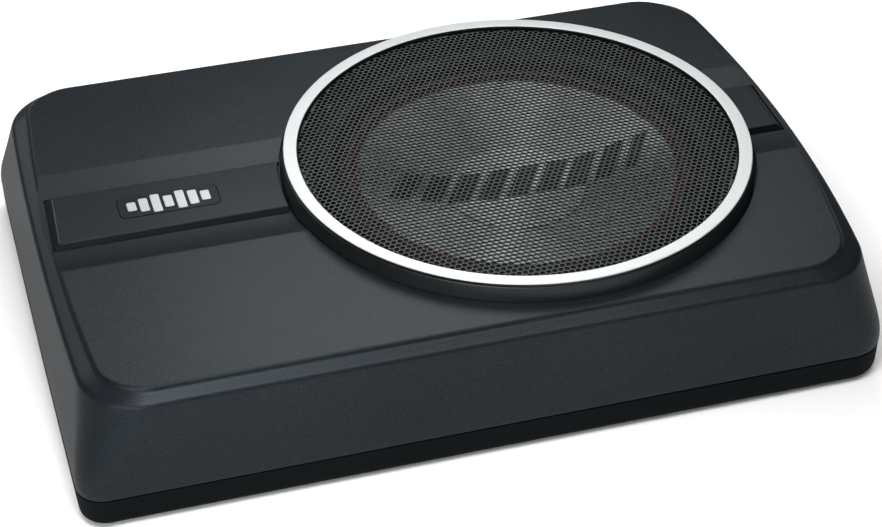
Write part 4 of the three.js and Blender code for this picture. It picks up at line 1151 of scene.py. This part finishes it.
# fuse holder and fuse
lo, hi = (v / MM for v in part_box("fuse_holder"))
ob = prism("fuse_carrier", rect(lo.x, hi.x, lo.z, hi.z, 0.6, 3), lo.y, hi.y, "y")
cuts = [prism("t", rect(-118 - 10, -118 + 10, HIGH_Z - 2.9, HIGH_Z + 2.9, 0.3, 2), 103, 120, "y")]
for sgn in (-1, 1):
    x = -118 + sgn * 6.7
    cuts.append(prism("t", rect(x - 3.0, x + 3.0, HIGH_Z - 0.8, HIGH_Z + 0.8), 95.2, 110, "y"))
for sgn in (-1, 1):
    cuts.append(prism("t", rect(-118 - 3.5, -118 + 3.5, HIGH_Z + sgn * 4.6 - 1.0, HIGH_Z + sgn * 4.6 + 1.0), 106.2, 120, "y"))
boolean(ob, cuts)
bevel(ob, 0.22, 2, 40)
shade(ob, 28)
piece(ob, BODY, "socket_plastic", SOCKET, "fuse_holder")


def fuse_material():
    m = Nodes("fuse_tinted")
    fine = m.noise(900.0, 3.0, 0.6)
    col = m.mix(m.remap(fine, 0.35, 0.65, 0, 1), (0.02, 0.13, 0.52), (0.03, 0.18, 0.62))
    m.link(col, m.b.inputs["Base Color"])
    m.link(m.remap(fine, 0.3, 0.7, 0.10, 0.18), m.b.inputs["Roughness"])
    m.b.inputs["Transmission Weight"].default_value = 0.35
    m.b.inputs["IOR"].default_value = 1.49
    return m.mat


head = prism("fuse_head", rect(-118 - 9.6, -118 + 9.6, HIGH_Z - 2.5, HIGH_Z + 2.5, 0.5, 3), 103.3, 111.5, "y")
boolean(head, [prism("t", rect(-118 - 4, -118 + 4, HIGH_Z + s * 2.6 - 1.1, HIGH_Z + s * 2.6 + 1.1), 109.4, 120, "y") for s in (-1, 1)])
bevel(head, 0.3, 3, 40)
shade(head, 28)
piece(head, "fuse", "fuse_plastic", fuse_material(), "blade_fuse")
for i, sgn in enumerate((-1, 1)):
    x = -118 + sgn * 6.7
    b = prism(f"fuse_blade_{i + 1}", [(x - 2.6, 97.0), (x - 2.0, 96.0), (x + 2.0, 96.0), (x + 2.6, 97.0), (x + 2.6, 103.6), (x - 2.6, 103.6)], HIGH_Z - 0.38, HIGH_Z + 0.38)
    bevel(b, 0.1, 1, 40)
    shade(b, 30)
    piece(b, "fuse", "contact_gold", TIN)

# indicator lamp
def lens_material():
    m = Nodes("lamp_blue")
    fine = m.noise(1200.0, 2.0, 0.5)
    m.link(m.mix(fine, (0.10, 0.28, 0.85), (0.16, 0.36, 0.95)), m.b.inputs["Base Color"])
    m.b.inputs["Roughness"].default_value = 0.12
    m.b.inputs["Transmission Weight"].default_value = 0.5
    m.link(m.bump(fine, 0.05, 0.00005), m.b.inputs["Normal"])
    return m.mat


prof = [(0, 93.9), (1.55, 93.9), (1.55, 105.0)] + [(1.55 * math.cos(t), 105.0 + 1.35 * math.sin(t)) for t in np.linspace(0.15, math.pi / 2 - 0.02, 8)] + [(0, 106.38)]
ob = lathe_y("lamp_lens", -98, HIGH_Z, prof, 32)
shade(ob, 35)
piece(ob, BODY, "led_lens", lens_material(), "power_led")

# phase switch slider with three grip ridges
lo, hi = (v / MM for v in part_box("phase_switch_slider"))
ob = prism("phase_slider", rect(lo.x, hi.x, lo.z, hi.z, 0.25, 2), lo.y, hi.y, "y")
boolean(ob, [prism("t", rect(lo.x + 0.75 + k * 1.05, lo.x + 1.15 + k * 1.05, lo.z - 1, hi.z + 1), hi.y - 0.45, hi.y + 1, "y") for k in range(3)])
bevel(ob, 0.12, 2, 40)
shade(ob, 28)
piece(ob, "phase_control", "knob_plastic", KNOB, "phase_switch_slider")

for node, x, body in (("lowpass_knob", -66, "lowpass_control"), ("level_knob", -47.5, "level_control")):
    def knurl(rr, an, yy):
        g = 0.5 + 0.5 * np.cos(an * 24)
        return -0.32 * g ** 3 * (rr > 4.9) * (yy > 106.0) * (yy < 112.3)
    prof = fillet([(3.15, 105.3), (5.4, 105.3), (5.4, 112.8), (0, 112.8), (0, 110.4), (3.15, 110.4)], 0, 2)
    prof = [(0, 110.4), (3.15, 110.4), (3.15, 105.3), (5.3, 105.3), (5.4, 105.5), (5.4, 105.9), (5.4, 106.3), (5.4, 111.7), (5.32, 112.2), (5.05, 112.6), (4.6, 112.8), (4.2, 112.65), (0, 112.65)]
    ob = lathe_y(node + "_body", x, HIGH_Z, prof, 192, knurl)
    boolean(ob, [prism("t", rect(x - 0.42, x + 0.42, HIGH_Z + 1.2, HIGH_Z + 6.5), 112.25, 115, "y")])
    shade(ob, 30)
    piece(ob, body, "knob_plastic", KNOB, node)
    line = prism(node + "_pointer", rect(x - 0.38, x + 0.38, HIGH_Z + 1.25, HIGH_Z + 4.9), 112.1, 112.45, "y")
    piece(line, body, "badge_metal", MARK)

# --------------------------------------------------------------------------- studio
floor = mesh_object("floor", [(-6000, -6000, 0), (6000, -6000, 0), (6000, 6000, 0), (-6000, 6000, 0)], [(0, 1, 2, 3)])
fm = Nodes("floor_pale")
g = fm.noise(3.0, 3.0, 0.5)
fm.link(fm.mix(g, (0.92, 0.92, 0.92), (0.94, 0.94, 0.94)), fm.b.inputs["Base Color"])
fm.b.inputs["Roughness"].default_value = 0.9
fm.b.inputs["Specular IOR Level"].default_value = 0.1
paint(floor, fm.mat)

world = bpy.data.worlds.new("studio")
bpy.context.scene.world = world
world.use_nodes = True
wt = world.node_tree
wt.nodes.clear()
wo = wt.nodes.new("ShaderNodeOutputWorld")
bg = wt.nodes.new("ShaderNodeBackground")
bg.inputs["Color"].default_value = (0.93, 0.96, 1.0, 1)
bg.inputs["Strength"].default_value = 0.02
wt.links.new(bg.outputs[0], wo.inputs[0])


def area(name, loc, target, size, power, colour=(1, 1, 1), size_y=None):
    d = bpy.data.lights.new(name, "AREA")
    d.energy = power
    d.color = colour
    d.shape = "RECTANGLE"
    d.size = size
    d.size_y = size_y or size
    o = bpy.data.objects.new(name, d)
    COLL.objects.link(o)
    loc, target = Vector(loc), Vector(target)
    o.visible_camera = False
    o.matrix_world = Matrix.Translation(loc) @ (target - loc).to_track_quat("-Z", "Y").to_matrix().to_4x4()
    return o


area("softbox_top", (0, 0, 1.6), (0, 0, 0), 1.2, 5.2)
area("softbox_front", (-0.15, -0.32, 0.5), (-0.09, -0.13, 0), 0.22, 2.4)
area("softbox_front_mid", (0.12, -0.36, 0.5), (0.05, -0.11, 0.06), 0.22, 0.9)
area("softbox_front_low", (-0.32, -0.55, 0.22), (0, 0, 0.04), 0.25, 1.1)
area("softbox_front_left", (-0.55, -0.45, 0.30), (0, 0, 0.04), 0.25, 1.1)
area("softbox_back_left", (-0.15, 0.30, 0.42), (0, 0, 0.05), 0.22, 0.15)
area("softbox_back_mid", (0.05, 0.30, 0.42), (0, 0, 0.05), 0.22, 1.02)
area("softbox_back_right", (0.25, 0.30, 0.42), (0, 0, 0.05), 0.22, 0.62)
area("softbox_left_low", (-0.50, 0.78, 0.40), (-0.16, 0, 0.05), 0.25, 0.8)
area("softbox_left", (-0.45, 0.55, 0.60), (0, 0, 0.05), 0.3, 0.9)
area("softbox_far", (-0.10, 0.55, 0.60), (0, 0, 0.05), 0.3, 0.35)

sc = bpy.context.scene
sc.view_settings.view_transform = "Standard"
sc.view_settings.look = "None"

lo, hi = CAD_BOX
